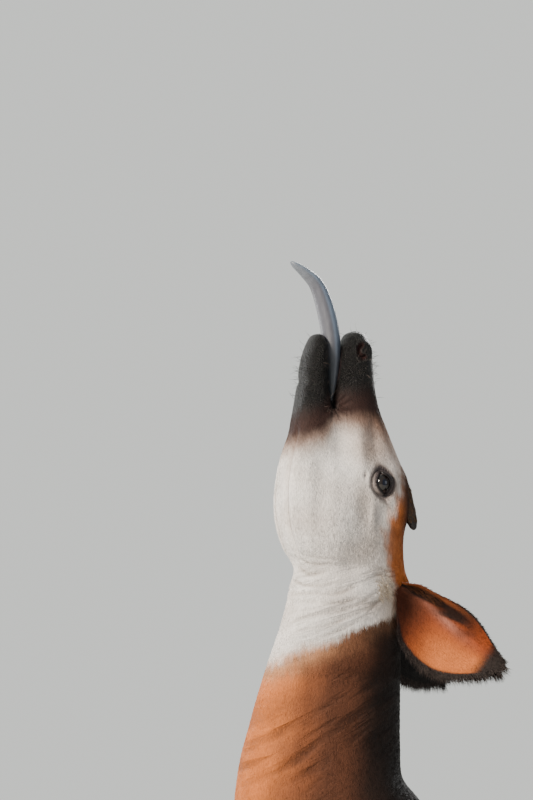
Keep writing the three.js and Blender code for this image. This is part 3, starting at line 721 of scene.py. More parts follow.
# Painted shade of the face: grey-brown where its hollows and creases would lie in shade, in cheek and
# jaw, round the eye and at the root of the ear. Colour, strength, middle and half sizes.
PAINTED_FACE_SHADE = [
    ("a3948a", 0.55, [-44, 80, 2040], [50, 40, 30]),
    ("a59385", 0.5, [-44, 80, 2120], [20, 40, 60]),
    ("a08c7e", 0.6, [-24, 80, 2226], [24, 40, 34]),
    ("a39388", 0.55, [-14, 80, 2076], [28, 40, 52]),
    ("85705f", 0.5, [-24, 85, 1934], [26, 40, 16]),
    ("6f5b4c", 0.65, [-2, 85, 1992], [22, 40, 15]),
    ("8d7c78", 0.6, [-40, 80, 2183], [3.5, 30, 6]),
]


def face_marks(colour, p, fine, broad):
    """Brown behind an edge read from the heights, then painted shade in the face's hollows and creases
    as soft balls.

    The brown is chestnut at the nape, dark on the forehead and greyer on the nose.
    """
    x, y, z = p.T
    edge = np.interp(z, BROWN_HEIGHTS, BROWN_EDGE)
    brown = mix(rgb("9c5119"), rgb("bf6c33"), 0.5 + 0.5 * fine)
    brown = mix(brown, rgb("8d6248"), smooth(z, 2110, 2180))
    brown = mix(brown, rgb("a07c60"), smooth(z, 2185, 2250))
    forehead = smooth(z + 14 * fine + 10 * broad, 2010, 2120) * smooth(2240 - z, 0, 60)
    brown = mix(brown, rgb("3b2318"), smooth(x, 26, 54) * forehead)
    brown = mix(brown, rgb("3a2a22"), smooth(x, 52, 100) * smooth(2100 - z, 0, 60))
    brown = mix(brown, rgb("1c120d"), smooth(1985 - z, 0, 110))
    soft = 1.3 + 1.5 * smooth(z, 2180, 2240) + 0.6 * bell(z, 2110, 30)
    behind = smooth(x + 5 * fine, edge - 9 * soft, edge + 12 * soft)
    colour = mix(colour, brown, behind * smooth(z, 1790, 1850))
    # Painted shade, grey-brown in the hollows and creases of the face.
    for tone, share, middle, half in PAINTED_FACE_SHADE:
        colour = mix(colour, rgb(tone), share * spot(p, middle, half))
    round_eye = spot(p, [10, 80, 2160], [24, 40, 34])
    return mix(colour, rgb("86695b"), 0.5 * round_eye * (0.8 + 0.4 * fine))


def muzzle_marks(colour, p, streak):
    """The nearly black muzzle above an edge read from x, its mouth and nostrils, painted shade in the
    slit below the mouth, and bareness.

    Steps of the height lead over brown to black. The skin is bare a little above the edge.
    """
    x, y, z = p.T
    start = np.interp(x, [-165, -118, -92, -60, -20, 25], [2262, 2276, 2306, 2304, 2312, 2296])
    start = start + 3 * streak
    nose = smooth(z, start - 135, start - 30) * smooth(x, -80, -15)
    colour = mix(colour, rgb("8a6046"), 0.68 * nose)
    colour = mix(colour, rgb("80604f"), 0.85 * smooth(z, start - 58, start - 12))
    colour = mix(colour, rgb("33201c"), smooth(z, start - 26, start + 8))
    colour = mix(colour, rgb("0a0808"), smooth(z, start + 8, start + 62))
    mouth = near(p, [-82, 0, 2420], [17, 30, 78])
    colour = mix(colour, rgb("2c1f22"), mouth)
    colour = mix(colour, rgb("3a201e"), 0.85 * near(p, *NOSE) * bell(nostril(p), 0, 3.6))
    # Painted shade: the slit below the opening of the mouth is darkened.
    colour = mix(colour, rgb("0d0a0a"), bell(mouth_slit(p), 0, 7))
    return colour, np.maximum(smooth(z, start + 26, start + 66), mouth)


def coat_at(p, creased=1.0, banded=True):
    """Linear colour of the coat at points, and how bare the skin is there.

    Each marking is mixed over those before it. turn goes from -1 at the throat to 1 at the
    nape. The lids are dark and bare by their distance from the almond of the eye.
    """
    x, y, z = p.T
    fine, broad, streak = ripple(p, 9, 3), ripple(p, 55, 4), ripple(p * [1, 1, 0.18], 5, 12)
    turn = (x + 60 + 0.13 * (1900 - z)) / (128 + 0.08 * (1900 - z)) + 0.06 * broad
    colour = dark_coat(p, turn, broad)
    colour = leg_marks(colour, p, fine, broad, banded)
    # creased is the share of painted shade that the throat's creases get.
    colour = white_throat(colour, p, turn, fine, broad, streak, creases(p)[0] * creased)
    colour = face_marks(colour, p, fine, broad)
    colour, bare = muzzle_marks(colour, p, streak)
    on_side = np.abs(y) > 50
    lid = np.where(on_side, almond(p), 9)
    shaded = np.where(on_side, almond(p - [3, 0, 4]), 9)
    colour = mix(colour, rgb("6f605d"), 0.7 * (1 - smooth(lid, 1.6, 2.4)))
    colour = mix(colour, rgb("352d31"), 0.9 * (1 - smooth(shaded, 1.25, 1.85)))
    colour = mix(colour, rgb("1d1718"), bell(lid, 1.04, 0.12))
    bare = np.maximum(bare, 1 - smooth(lid, 1.3, 1.5))
    return np.concatenate([colour, bare[:, None]], axis=1)


def new_material(name):
    """An empty material and its node tree: the nodes that it starts with are taken out."""
    made = bpy.data.materials.new(name)
    made.use_nodes = True
    made.node_tree.nodes.clear()
    return made, made.node_tree


def add(tree, kind, *inputs, **settings):
    """Adds a node with its settings and links, and returns it.

    Values without a name follow the order of the inputs, and None leaves one as it is. A
    setting is a property of the node, or else an input with its spaces as _. A node or a
    socket as a value is linked, a node by its first output.
    """
    node = tree.nodes.new(kind)
    values = dict(enumerate(inputs))
    for key, value in settings.items():
        if hasattr(node, key):
            setattr(node, key, value)
        else:
            values[key.replace("_", " ")] = value
    for key, value in values.items():
        if isinstance(value, bpy.types.Node):
            value = value.outputs[0]
        if isinstance(value, bpy.types.NodeSocket):
            tree.links.new(value, node.inputs[key])
        elif value is not None:
            node.inputs[key].default_value = value
    return node


# Patterns of the coat as the sizes of their cells in millimetres, and their detail. A hair is
# finer than 0.1 mm, so its streaks are drawn as locks of hair, coarse enough to show. The
# pores are drawn coarser too.
GRAINS = {
    "down": ((1.333, 1.333, 11.11), 3),
    "along": ((9.09, 1.333, 2.5), 3),
    "patches": ((33.33, 33.33, 62.5), 2),
    "ragged": ((14.29, 14.29, 25), 3),
    "pores": ((3.03, 3.03, 3.03), 3),
}
# Wrinkles rise to the nape: slope, and length and height of a fold in millimetres. There are fine ones
# on the throat and broad ones on the neck. Each is a bump, and its valleys are darkened as painted
# shade.
WRINKLES = [(-0.3, 140, 9), (-0.5, 140, 20)]


def coat_shader(name, streak):
    """Short hair with a dull sheen, or bare skin that is smoother, shinier and full of pores.

    The colour is the piece's own, made cream where the sine of the bands' phase passes their width, and
    then lighter or darker by locks and patches, and darker by painted shade in the wrinkles' valleys.
    """
    made, tree = new_material(name)
    place = add(tree, "ShaderNodeTexCoord").outputs["Object"]
    own = add(tree, "ShaderNodeAttribute", attribute_name="coat")
    bare = own.outputs["Alpha"]
    grains = {}
    for word, (size, detail) in GRAINS.items():
        stretched = add(tree, "ShaderNodeMapping", place, Scale=[1000 / mm for mm in size])
        grains[word] = add(tree, "ShaderNodeTexNoise", stretched, Scale=1, Detail=detail)
    # Locks run back along the trunk and down everywhere else.
    height = add(tree, "ShaderNodeSeparateXYZ", place).outputs["Z"]
    low = add(tree, "ShaderNodeMapRange", height, 0.85, 1)
    high = add(tree, "ShaderNodeMapRange", height, 1.35, 1.5, 1, 0)
    trunk = add(tree, "ShaderNodeMath", low, high, operation="MULTIPLY")
    locks = add(tree, "ShaderNodeMix", trunk, None, grains["down"], grains["along"])
    split = {}
    for word in ("creased", "bands"):
        kept = add(tree, "ShaderNodeAttribute", attribute_name=word).outputs["Vector"]
        split[word] = add(tree, "ShaderNodeSeparateXYZ", kept).outputs
    folds = []
    for (slope, length, tall), share in zip(WRINKLES, split["creased"]):
        cell = [mm / 1000 for mm in (length, length, tall)]
        turned = (0, slope, 0)
        sloped = add(tree, "ShaderNodeMapping", place, None, turned, cell, vector_type="TEXTURE")
        waves = add(tree, "ShaderNodeTexNoise", sloped, Scale=1, Detail=2.5, Distortion=0.3)
        fold = add(tree, "ShaderNodeMapRange", waves, 0.36, 0.56, 1, 0)
        folds.append(add(tree, "ShaderNodeMath", fold, share, operation="MULTIPLY"))
    phase, width, strength = split["bands"]
    round_turn = 2 * np.pi
    ragged = add(tree, "ShaderNodeMath", grains["ragged"], 0.3, phase, operation="MULTIPLY_ADD")
    angle = add(tree, "ShaderNodeMath", ragged, round_turn, -0.15 * round_turn, operation="MULTIPLY_ADD")
    wave = add(tree, "ShaderNodeMath", angle, operation="SINE")
    past = add(tree, "ShaderNodeMath", wave, width, operation="SUBTRACT")
    pale = add(tree, "ShaderNodeMapRange", past, 0, 0.3)
    pale = add(tree, "ShaderNodeMath", pale, strength, operation="MULTIPLY")
    cream = (*rgb("e0d6cb"), 1)
    marked = add(tree, "ShaderNodeMix", pale, *[None] * 5, own, cream, data_type="RGBA")
    lit = marked.outputs[2]
    # Locks and patches vary the coat's tone; the wrinkles' valleys get painted shade.
    for value, start, end, first, last in (
        (locks, 0.3, 0.7, 1 - streak, 1 + streak),
        (grains["patches"], 0.3, 0.7, 0.9, 1.1),
        (folds[0], 0, 1, 1, 0.72),
        (folds[1], 0, 1, 1, 0.5),
    ):
        shade = add(tree, "ShaderNodeMapRange", value, start, end, first, last)
        lit = add(tree, "ShaderNodeVectorMath", lit, Scale=shade, operation="SCALE")
    porous = add(tree, "ShaderNodeMapRange", bare, 0, 1, 0.25, 1)
    pores = add(tree, "ShaderNodeMath", grains["pores"], porous, operation="MULTIPLY")
    bump = None
    for value, deep, strength in (
        (locks, 0.0009, 0.8),
        (pores, 0.006, 0.9),
        (folds[0], -0.0016, 0.9),
        (folds[1], -0.004, 0.9),
    ):
        bump = add(tree, "ShaderNodeBump", Height=value, Distance=deep, Strength=strength, Normal=bump)
    shader = add(
        tree,
        "ShaderNodeBsdfPrincipled",
        Base_Color=lit,
        Roughness=add(tree, "ShaderNodeMapRange", bare, 0, 1, 0.7, 0.3),
        Specular_IOR_Level=0.22,
        Sheen_Weight=0.02,
        Sheen_Roughness=0.5,
        Normal=bump,
    )
    add(tree, "ShaderNodeOutputMaterial", shader)
    return made


def piece(name, points, triangles, material, colour=None, uv=None, normals=None, nodes=(), slot=None):
    """A mesh object of the animal from arrays, that stands for CAD nodes if any are named.

    colour is linear RGB and bareness for each point, kept as the attribute "coat". uv is a
    place for each point, and normals are given ones to shade by.
    """
    a, b, c = points[triangles].transpose(1, 0, 2)
    if (a * np.cross(b, c)).sum() < 0:
        triangles = triangles[:, ::-1]
    mesh = mesh_of(name, (points + SHIFT) / 1000, triangles)
    if colour is not None:
        if colour.shape[1] == 3:
            colour = np.concatenate([colour, np.zeros((len(colour), 1))], axis=1)
        layer = mesh.attributes.new("coat", "FLOAT_COLOR", "POINT")
        layer.data.foreach_set("color", colour.astype(np.float32).ravel())
    if uv is not None:
        layer = mesh.uv_layers.new(name="OFBake")
        layer.data.foreach_set("uv", uv[triangles.ravel()].astype(np.float32).ravel())
    if normals is not None:
        mesh.normals_split_custom_set_from_vertices(normals.astype(np.float32))
    mesh.materials.append(material)
    obj = bpy.data.objects.new(name, mesh)
    bpy.context.scene.collection.objects.link(obj)
    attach(obj, "root")
    if nodes:
        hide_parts(*nodes)
    return obj


hide = coat_shader("short_hair", 0.22)
hair = coat_shader("hair_tufts", 0.15)
skin_nodes = ["head", "neck", "torso", "tail"]
skin_nodes += [f"{leg}_{word}" for leg in ("foreleg", "hindleg") for word in ("left", "right")]
tone = coat_at(skin, banded=False)
dressed = piece("skin", skin, faces, hide, tone, nodes=skin_nodes, slot="coat_chocolate")
# Where the shader's wrinkles are drawn, as bump and as painted shade in their valleys.
creased = creased * (0.5 + 0.5 * smooth(skin[:, 2], 1830, 1870))
folds = (creased, folded, np.zeros(len(skin)))
for word, values in (("creased", folds), ("bands", bands_at(skin))):
    layer = dressed.data.attributes.new(word, "FLOAT_VECTOR", "POINT")
    layer.data.foreach_set("vector", np.stack(values, axis=1).astype(np.float32).ravel())
body = (skin, faces, out)


# Coat
# Short hair that lies close, back along the trunk and down everywhere else, longest on the
# trunk. It is made of small closed tufts, in six pieces. They stand on the skin and have its
# markings, and are kept thin on the throat and neck, where the folds of the skin show.


def scatter(surface, chance, count, draw):
    """Random places on a surface of points, faces and normals, and the normals there.

    A face is drawn by its area times its mean chance, and a place on it by two sorted shares.
    """
    points, triangles, normals = surface
    area = facing(points, triangles)[1] * chance[triangles].mean(1)
    chosen = draw.choice(len(triangles), count, p=area / area.sum())
    share = np.sort(draw.random((count, 2)), axis=1)
    part = np.stack([share[:, 0], share[:, 1] - share[:, 0], 1 - share[:, 1]], axis=1)[..., None]
    corners = triangles[chosen]
    return (points[corners] * part).sum(1), unit((normals[corners] * part).sum(1))


def laid(way, normal):
    """A way with its share along the normal taken out, so that it runs along the surface."""
    return unit(way - normal * (way * normal).sum(1, keepdims=True))


def lie_at(p, normal, stray, draw):
    """Ways of the hairs: a soft step by place leads from straight down to back and down."""
    x, y, z = p.T
    trunk = smooth(z, 820, 1000) * (1 - smooth(z, 1400, 1560)) * (1 - smooth(x, 820, 900))
    way = np.stack([trunk, np.zeros_like(z), -1 + 0.55 * trunk], axis=1)
    return laid(way + draw.normal(0, stray, way.shape), normal)


# The faces of one tuft. Its points are a triangle below the skin, a smaller one half way up
# and a tip.
TUFT = [(0, 1, 2), (1, 0, 3), (1, 3, 4), (2, 1, 4), (2, 4, 5), (0, 2, 5), (0, 5, 3)]
TUFT = np.array(TUFT + [(4, 3, 6), (5, 4, 6), (3, 5, 6)])
# How far a tuft starts below the skin, in millimetres, and where its points lie round its
# root's place on the unwrap.
DEPTH = 0.8
PATCH = 0.0015 * np.array([(-1, -1), (1, -1), (0, -1), (-0.7, 0), (0.7, 0), (0, 0), (0, 1)])


def tufts(roots, normal, way, length, width, lift, colour, place, tip, draw):
    """(points, triangles, colour, uv, normals) of closed, three-sided, tapered tufts.

    Each starts below its root, rises by its lift and goes a length along its way. Its tip is
    lighter than its base by tip. It is shaded nearly as the skin at its root, so that the coat
    looks smooth.
    """
    count = len(roots)
    length, width, lift = (np.broadcast_to(v, count)[:, None] for v in (length, width, lift))
    across = unit(np.cross(normal, way))
    middle = roots + way * length * 0.5 + normal * lift * length * 0.8
    end = roots + way * length + normal * lift * length
    sides = np.stack([-across, across, normal * 0.8], axis=1) * (width / 2)[:, None]
    base = (roots - normal * DEPTH)[:, None] + sides
    points = np.concatenate([base, middle[:, None] + sides * 0.75, end[:, None]], axis=1)
    triangles = (np.arange(count)[:, None, None] * 7 + TUFT).reshape(-1, 3)
    shade = draw.normal(1, 0.06, (count, 1, 1)) * np.array([0.9] * 3 + [1.0] * 3 + [tip])[:, None]
    tone = np.clip(colour[:, None, :3] * shade, 0, 1).reshape(-1, 3)
    shading = np.repeat(unit(normal + draw.normal(0, 0.13, normal.shape)), 7, axis=0)
    return points.reshape(-1, 3), triangles, tone, (place[:, None] + PATCH).reshape(-1, 2), shading


def hair_piece(name, made, slot="coat_chestnut"):
    """A piece of tufts in their own material."""
    points, triangles, colour, uv, normals = made
    piece(name, points, triangles, hair, colour, uv, normals, slot=slot)


def unwrapped(p, kind):
    """Each root's place on an unwrap of the skin: the angle round a part, and the way along."""
    x, y, z = p.T
    if kind == "trunk":
        return np.stack([np.arctan2(y, z - 1190) / 6.4 + 0.5, (x + 320) / 1300], axis=1)
    if kind == "leg":
        which = (x > 330) * 2 + (y > 0)
        middle = np.where(x > 330, 660, -75)
        angle = np.arctan2(np.abs(y) - 135, x - middle) / 6.4 + 0.5
        return np.stack([(which + angle) / 4, z / 1200], axis=1)
    return np.stack([np.arctan2(y, x + 60) / 6.4 + 0.5, (z - 1400) / 1100], axis=1)


x, y, z = skin.T
furred = 1 - smooth(coat_at(skin)[:, 3], 0.1, 0.6)
furred = furred * (1 - 0.6 * smooth(z, 1790, 1870) * smooth(2090 - z, 0, 120) * (x < 40))
leg_part = (z < 800) & (x < 870)
trunk_part = (z >= 800) & (z < 1480) | (x >= 870)
# For each piece: how its tufts are unwrapped, how likely they are at each point of the skin,
# and their number.
COATS = {
    "coat_face": ("head", furred * (z > 2060), 19000),
    "coat_throat": ("head", furred * (z > 1800) * (z <= 2060), 19000),
    "coat_neck": ("head", (z > 1480) * (z <= 1800) * 1.0, 9000),
    "coat_fore": ("trunk", trunk_part * (x < 250) * 1.0, 19000),
    "coat_rear": ("trunk", trunk_part * (x >= 250) * 1.0, 19000),
    "coat_legs": ("leg", leg_part * (z > 74) * 1.0, 19000),
}
# The length of the hair, in millimetres, by the height above the floor.
HAIR_HEIGHTS = [70, 300, 800, 1100, 1480, 1800, 2050, 2250, 2330]
HAIR_LENGTHS = [6, 8, 10, 17, 11, 9, 9, 6, 4]
for number, (name, (kind, chance, count)) in enumerate(COATS.items()):
    draw = np.random.default_rng(100 + number)
    count = count
    root, normal = scatter(body, chance, count, draw)
    height = root[:, 2]
    length = np.interp(height, HAIR_HEIGHTS, HAIR_LENGTHS) * draw.uniform(0.7, 1.25, count)
    way = lie_at(root, normal, 0.14, draw)
    lift = draw.uniform(0.0, 0.05, count) + 0.05 * (height < 1480)
    # The tufts carry a quarter of the painted shade of the throat's creases.
    tone, place = coat_at(root, 0.25), unwrapped(root, kind)
    width = 0.06 * length + 0.5
    hair_piece(name, tufts(root, normal, way, length, width, lift, tone, place, 1.12, draw))


# Ears
# Large cupped leaves of gristle under skin, rust-coloured and thinly haired inside, nearly
# black outside, with a dark furry border. They turn freely at their roots and hang back here.
EAR_ROOT = np.array([30, 70, 1968.0])
# From root to tip: how far an ear reaches to its lower and upper rim, and its cup's depth.
EAR_WIDTHS = [
    (11, 13, 15),
    (50, 29, 33),
    (84, 34, 38),
    (95, 40, 36),
    (98, 44, 31),
    (91, 42, 25),
    (73, 32, 17),
    (46, 18, 8),
    (14, 6, 2),
]


def ear_frame(side):
    """The way to an ear's tip, and the unit ways along it, out of its cup and across it.

    The way out has its share along the ear taken out. The way across is square to both.
    """
    along = np.array([206, 166, 1818 - (18 if side > 0 else 0)]) - EAR_ROOT
    run = unit(along)
    opening = np.array([-0.35, 0.9, -0.2])
    opening = unit(opening - run * (opening @ run))
    return along, run, opening, np.cross(opening, run)


def ear_place(side, t, v, lift):
    """Places on an ear: t from root to tip, v from the upper rim at -1 to the lower at 1.

    The widths are blended along t. The cup is deepest in the middle, by a power of v, and a
    soft ridge runs along it. lift goes from the outer face at -0.5 to the inner at 0.5.
    """
    along, run, opening, wide = ear_frame(side)
    t, v, lift = np.broadcast_arrays(t, v, lift)
    t = np.clip(t, 0, 1)
    low, high, deep = blend_rows(EAR_WIDTHS, t.ravel() * (len(EAR_WIDTHS) - 1)).T.reshape(3, *t.shape)
    thick = (7 - 4 * np.sqrt(t)) * (1 - 0.5 * v**4)
    ridge = 3.5 * bell(v, -0.12 + 0.3 * t, 0.13) * bell(t, 0.3, 0.25)
    ridge += 1.6 * np.sin(9 * t + 2) * np.abs(v) ** 3
    hollow = -deep * (1 - np.abs(v) ** 2.2) + lift * thick + ridge * 0.8
    over = np.where(v < 0, v * high, v * low)
    p = EAR_ROOT + along * t[..., None] + wide * over[..., None] + opening * hollow[..., None]
    return p * [1, side, 1]


def ear_colour(t, v, inner):
    """Linear colour of an ear's inner face, or of its outer, in soft steps of t and v. Inside there is a
    painted highlight along the ridge, painted light on the upper rim near the root, and painted shade in
    the upper half of the cup towards the root.
    """
    rust = mix(rgb("4a2414"), rgb("8c3e17"), smooth(t, 0.08, 0.5))
    rust = mix(rust, rgb("c46c34"), smooth(v, 0.0, 0.6) * smooth(t, 0.25, 0.6))
    # Painted highlight: a lighter pinkish line along the ridge of the cup.
    rust = mix(rust, rgb("9c6250"), bell(v, -0.12 + 0.3 * t, 0.12) * bell(t, 0.4, 0.22))
    in_shade = smooth(-v + 0.12 * np.sin(23 * t + 9 * v), -0.12, 0.34)
    rust = mix(rust, rgb("120906"), 0.96 * in_shade * (1 - smooth(t, 0.5, 0.85)))
    # Painted light: the upper rim near the root is lighter brown, as if lit.
    upper = smooth(-v, 0.6, 0.8) * (1 - smooth(t, 0.35, 0.7))
    rust = mix(rust, rgb("8a4a24"), 0.9 * upper)
    rim = np.maximum(smooth(v, 0.86, 0.95), smooth(-v, 0.9, 0.99) * smooth(t, 0.35, 0.6))
    rim = np.maximum(rim, smooth(t, 0.79, 0.9)) * smooth(t, 0.05, 0.2)
    rust = mix(rust, rgb("241b18"), rim)
    black = mix(rgb("70391b"), rgb("100d0d"), smooth(t - 0.25 * smooth(-v, 0, 1), 0.02, 0.35))
    return np.where(inner[..., None], rust, black)


def ear_hairs(side, t, v, face, length, width, lift, out_share, tone, tip, draw):
    """Tufts on an ear's inner face (1) or outer (-1). They lie to the tip and to the rim."""
    step, lifted = 0.01, 0.5 * face
    root = ear_place(side, t, v, lifted)
    to_tip = unit(ear_place(side, t + step, v, lifted) - ear_place(side, t - step, v, lifted))
    across = unit(ear_place(side, t, v + step, lifted) - ear_place(side, t, v - step, lifted))
    normal = unit(np.cross(to_tip, across)) * (face * side)
    way = to_tip + across * (out_share * v * np.abs(v))[:, None] + draw.normal(0, 0.15, root.shape)
    place = np.stack([t, (v + 1) / 2], axis=1) * 0.9 + 0.05
    return tufts(root, normal, unit(way), length, width, lift, tone, place, tip, draw)


for side, word in ((-1, "left"), (1, "right")):
    draw = np.random.default_rng(200 + side)
    t, v = np.meshgrid(np.linspace(0, 1, 60), np.linspace(-1, 1, 56), indexing="ij")
    faces_of = (ear_place(side, t, v, 0.5), ear_place(side, t, v, -0.5)[:, ::-1])
    tone = np.concatenate([ear_colour(t, v, t > -1), ear_colour(t, v, t > 2)[:, ::-1]], axis=1)
    leaf, leaf_faces = tube(np.concatenate(faces_of, axis=1))
    tone = np.concatenate([tone.reshape(-1, 3), tone[[0, -1]].mean(1)])
    nodes = [f"ear_{word}"]
    piece(f"ear_leaf_{word}", leaf, leaf_faces, hide, tone, nodes=nodes, slot="ear_rust")
    many = 1
    sets = []
    # Thin down inside, and short black hair outside.
    count = int(2600 * many)
    t, v = draw.uniform(0.02, 0.97, count), draw.uniform(-0.95, 0.95, count)
    tone = ear_colour(t, v, t > -1)
    size = draw.uniform(6, 10, count)
    sets.append(ear_hairs(side, t, v, 1, size, 0.9, 0.05, 0.5, tone, 1.1, draw))
    count = int(2200 * many)
    t, v = draw.uniform(0.0, 0.98, count), draw.uniform(-0.97, 0.97, count)
    tone = ear_colour(t, v, t > 2)
    size = draw.uniform(7, 11, count)
    sets.append(ear_hairs(side, t, v, -1, size, 2.2, 0.14, 0.4, tone, 1.3, draw))
    # The fringe of the rim, on both faces, longest at the lower edge and the tip.
    count = int(6500 * many)
    at_tip = draw.random(count) < 0.16
    t = np.where(at_tip, draw.uniform(0.93, 1.0, count), draw.uniform(0.1, 1.0, count) ** 0.8)
    v = draw.choice([-1, 1, 1, 1], count) * draw.uniform(0.9, 1.0, count)
    v = np.where(at_tip, draw.uniform(-1, 1, count), v)
    tone = mix(rgb("1c1716"), rgb("453b37"), draw.random(count) ** 1.5)
    face = draw.choice([-1, 1], count)
    size = (8 + 20 * draw.random(count) ** 1.6) * np.where(v > 0, 1.1, 0.45)
    size = size * (0.35 + 0.65 * smooth(t, 0.15, 0.6))
    for one, tip in ((-1, 5), (1, 2)):
        k = face == one
        sets.append(ear_hairs(side, t[k], v[k], one, size[k], 0.7, 0.08, 1.1, tone[k], tip, draw))
    # Longer hairs that grow across the opening at the root.
    count = int(260 * many)
    t, v = draw.uniform(0.02, 0.3, count), draw.uniform(-0.85, -0.3, count)
    tone = mix(rgb("26150e"), rgb("7a4a2c"), draw.random(count) ** 1.5)
    size = draw.uniform(9, 19, count)
    sets.append(ear_hairs(side, t, v, 1, size, 0.8, 0.2, -0.6, tone, 1.2, draw))
    joined = together([one[:2] for one in sets])
    rest = [np.concatenate([one[k] for one in sets]) for k in (2, 3, 4)]
    hair_piece(f"ear_hair_{word}", (*joined, *rest), slot="ear_rust")


# Eyes
# Dark moist balls in their sockets, with a clear swelling in front and a long pupil. A thin
# wet rim lines the lids, and short lashes stand along the upper one.


def lid_points(side, angle, wider, reach, least):
    """Points along the lids' edge, from the middle of the eye, on a ball of that reach.

    Seen along the line of sight they lie at the almond's half sizes, made wider, times the
    cosine and its size, and the sine, of the angle. The rest of the reach lies to the side.
    """
    across = (LENS[0] + wider) * np.cos(angle) * np.abs(np.cos(angle))
    along = (LENS[1] + wider) * np.sin(angle)
    x = across * np.cos(TILT) - along * np.sin(TILT)
    z = along * np.cos(TILT) + across * np.sin(TILT)
    return np.stack([x, side * np.sqrt(np.maximum(reach**2 - x**2 - z**2, least)), z], axis=1)


# A wet cornea: a smooth clear coat over the dark colours of iris and pupil, with sharp lights.
eye_surface, tree = new_material("eye_surface")
shader = add(
    tree,
    "ShaderNodeBsdfPrincipled",
    Base_Color=add(tree, "ShaderNodeAttribute", attribute_name="coat"),
    Roughness=0.12,
    Specular_IOR_Level=0.3,
    Coat_Weight=0.6,
    Coat_Roughness=0.03,
)
add(tree, "ShaderNodeOutputMaterial", shader)

# The bare dark edge of the lids, moist and so a little shiny, with grit of about a millimetre.
moist, tree = new_material("moist_lid")
place = add(tree, "ShaderNodeTexCoord").outputs["Object"]
grit = add(tree, "ShaderNodeTexNoise", place, Scale=1000 / 1.11, Detail=3)
bump = add(tree, "ShaderNodeBump", Height=grit, Distance=0.0003, Strength=0.6)
edge_colour = (*rgb("1f191b"), 1)
shader = add(tree, "ShaderNodeBsdfPrincipled", edge_colour, Roughness=0.3, Normal=bump)
add(tree, "ShaderNodeOutputMaterial", shader)

# Points along the rim of the lids, its sides and its radius, and the lashes of an eye.
RIM_POINTS, RIM_SIDES, RIM_RADIUS = 120, 10, 1.3
LASHES = 90
for side, word in ((-1, "left"), (1, "right")):
    eyeball, ball_faces = ball([0, 0, 0], [20.6, 20.6, 20.6], segments=96)
    eyeball = eyeball[:, [0, 2, 1]]
    # The cornea swells a little round the line of sight.
    from_sight = np.hypot(eyeball[:, 0], eyeball[:, 2])
    outer = eyeball[:, 1] * side > 0
    eyeball[:, 1] += side * outer * 1.3 * (1 - smooth(from_sight, 5, 13.5))
    # Iris, its dark edge, the long pupil, black with a blue tint as painted reflection, and the white.
    pupil = np.hypot(eyeball[:, 0] / 4.6, eyeball[:, 2] / 7.4)
    tone = mix(rgb("1c1512"), rgb("140d0a"), smooth(from_sight, 7, 11.5))
    tone = mix(tone, rgb("0b0808"), smooth(from_sight, 11.5, 13))
    # Painted reflection: the pupil is tinted dark blue.
    tone = mix(tone, rgb("0b1120"), 1 - smooth(pupil, 0.8, 1.1))
    tone = mix(tone, rgb("3d3332"), smooth(from_sight, 14.5, 17))
    centre = EYE * [1, -side, 1]
    nodes = [f"eye_{word}"]
    piece(f"eyeball_{word}", eyeball + centre, ball_faces, eye_surface, tone, nodes=nodes, slot="eye")

    angle = np.linspace(0, 2 * np.pi, RIM_POINTS, endpoint=False)
    edge = lid_points(side, angle, -0.6, 21.8, 16)
    inward = unit(edge * [1, 0, 1])
    forward = np.array([0, side, 0])
    wheel = np.linspace(0, 2 * np.pi, RIM_SIDES, endpoint=False)[None, :, None]
    ways = np.cos(wheel) * inward[:, None] + np.sin(wheel) * forward
    rim = edge[:, None] + RIM_RADIUS * ways
    k = np.arange(RIM_SIDES)
    a = np.arange(RIM_POINTS)[:, None] * RIM_SIDES + k
    b = np.arange(RIM_POINTS)[:, None] * RIM_SIDES + (k + 1) % RIM_SIDES
    c, d = (a + RIM_SIDES) % (RIM_POINTS * RIM_SIDES), (b + RIM_SIDES) % (RIM_POINTS * RIM_SIDES)
    ring = [np.stack(three, -1).reshape(-1, 3) for three in ((a, c, b), (b, c, d))]
    rim = rim.reshape(-1, 3) + centre
    piece(f"lid_rim_{word}", rim, np.concatenate(ring), moist, slot="coat_chestnut")

    draw = np.random.default_rng(300 + side)
    angle = draw.uniform(-1.25, 1.25, LASHES)
    edge = lid_points(side, angle, 0.8, 23.0, 25)
    way = np.stack([0.15 - 0.2 * np.cos(angle), np.full(LASHES, side), 0.5 * np.sin(angle)], axis=1)
    way = unit(way + draw.normal(0, 0.1, way.shape))
    size = draw.uniform(6, 11, LASHES)
    tone, place = np.tile(rgb("141112"), (LASHES, 1)), np.full((LASHES, 2), 0.5)
    outward = unit(edge * [1, 0, 1])
    lash = tufts(edge + centre, outward, way, size, 0.6, -0.25, tone, place, 1.0, draw)
    hair_piece(f"lashes_{word}", lash)


# Tongue
# A long muscle that curls round leaves, slate-blue above and greyer underneath. It is rooted
# between the lips, and has a shallow groove along its top.
TONGUE = [
    (-166, 0, 2600, 2.5, 2.5, 4, 2, 0),
    (-158, 0, 2594, 6, 6, 10, 2, 0),
    (-138, 0, 2580, 10, 10, 16, 2, 0),
    (-114, 0, 2556, 14, 14, 19, 2, 0),
    (-97, 0, 2513, 17, 17, 21, 2, 0),
    (-86, 0, 2462, 18, 18, 22, 2, 0),
    (-83, 0, 2412, 16, 18, 23, 2, 0),
    (-86, 0, 2366, 12, 13, 22, 2, 0),
    (-88, 0, 2330, 6, 6, 14, 2, 0),
]
ROWS, AROUND = 220, 64
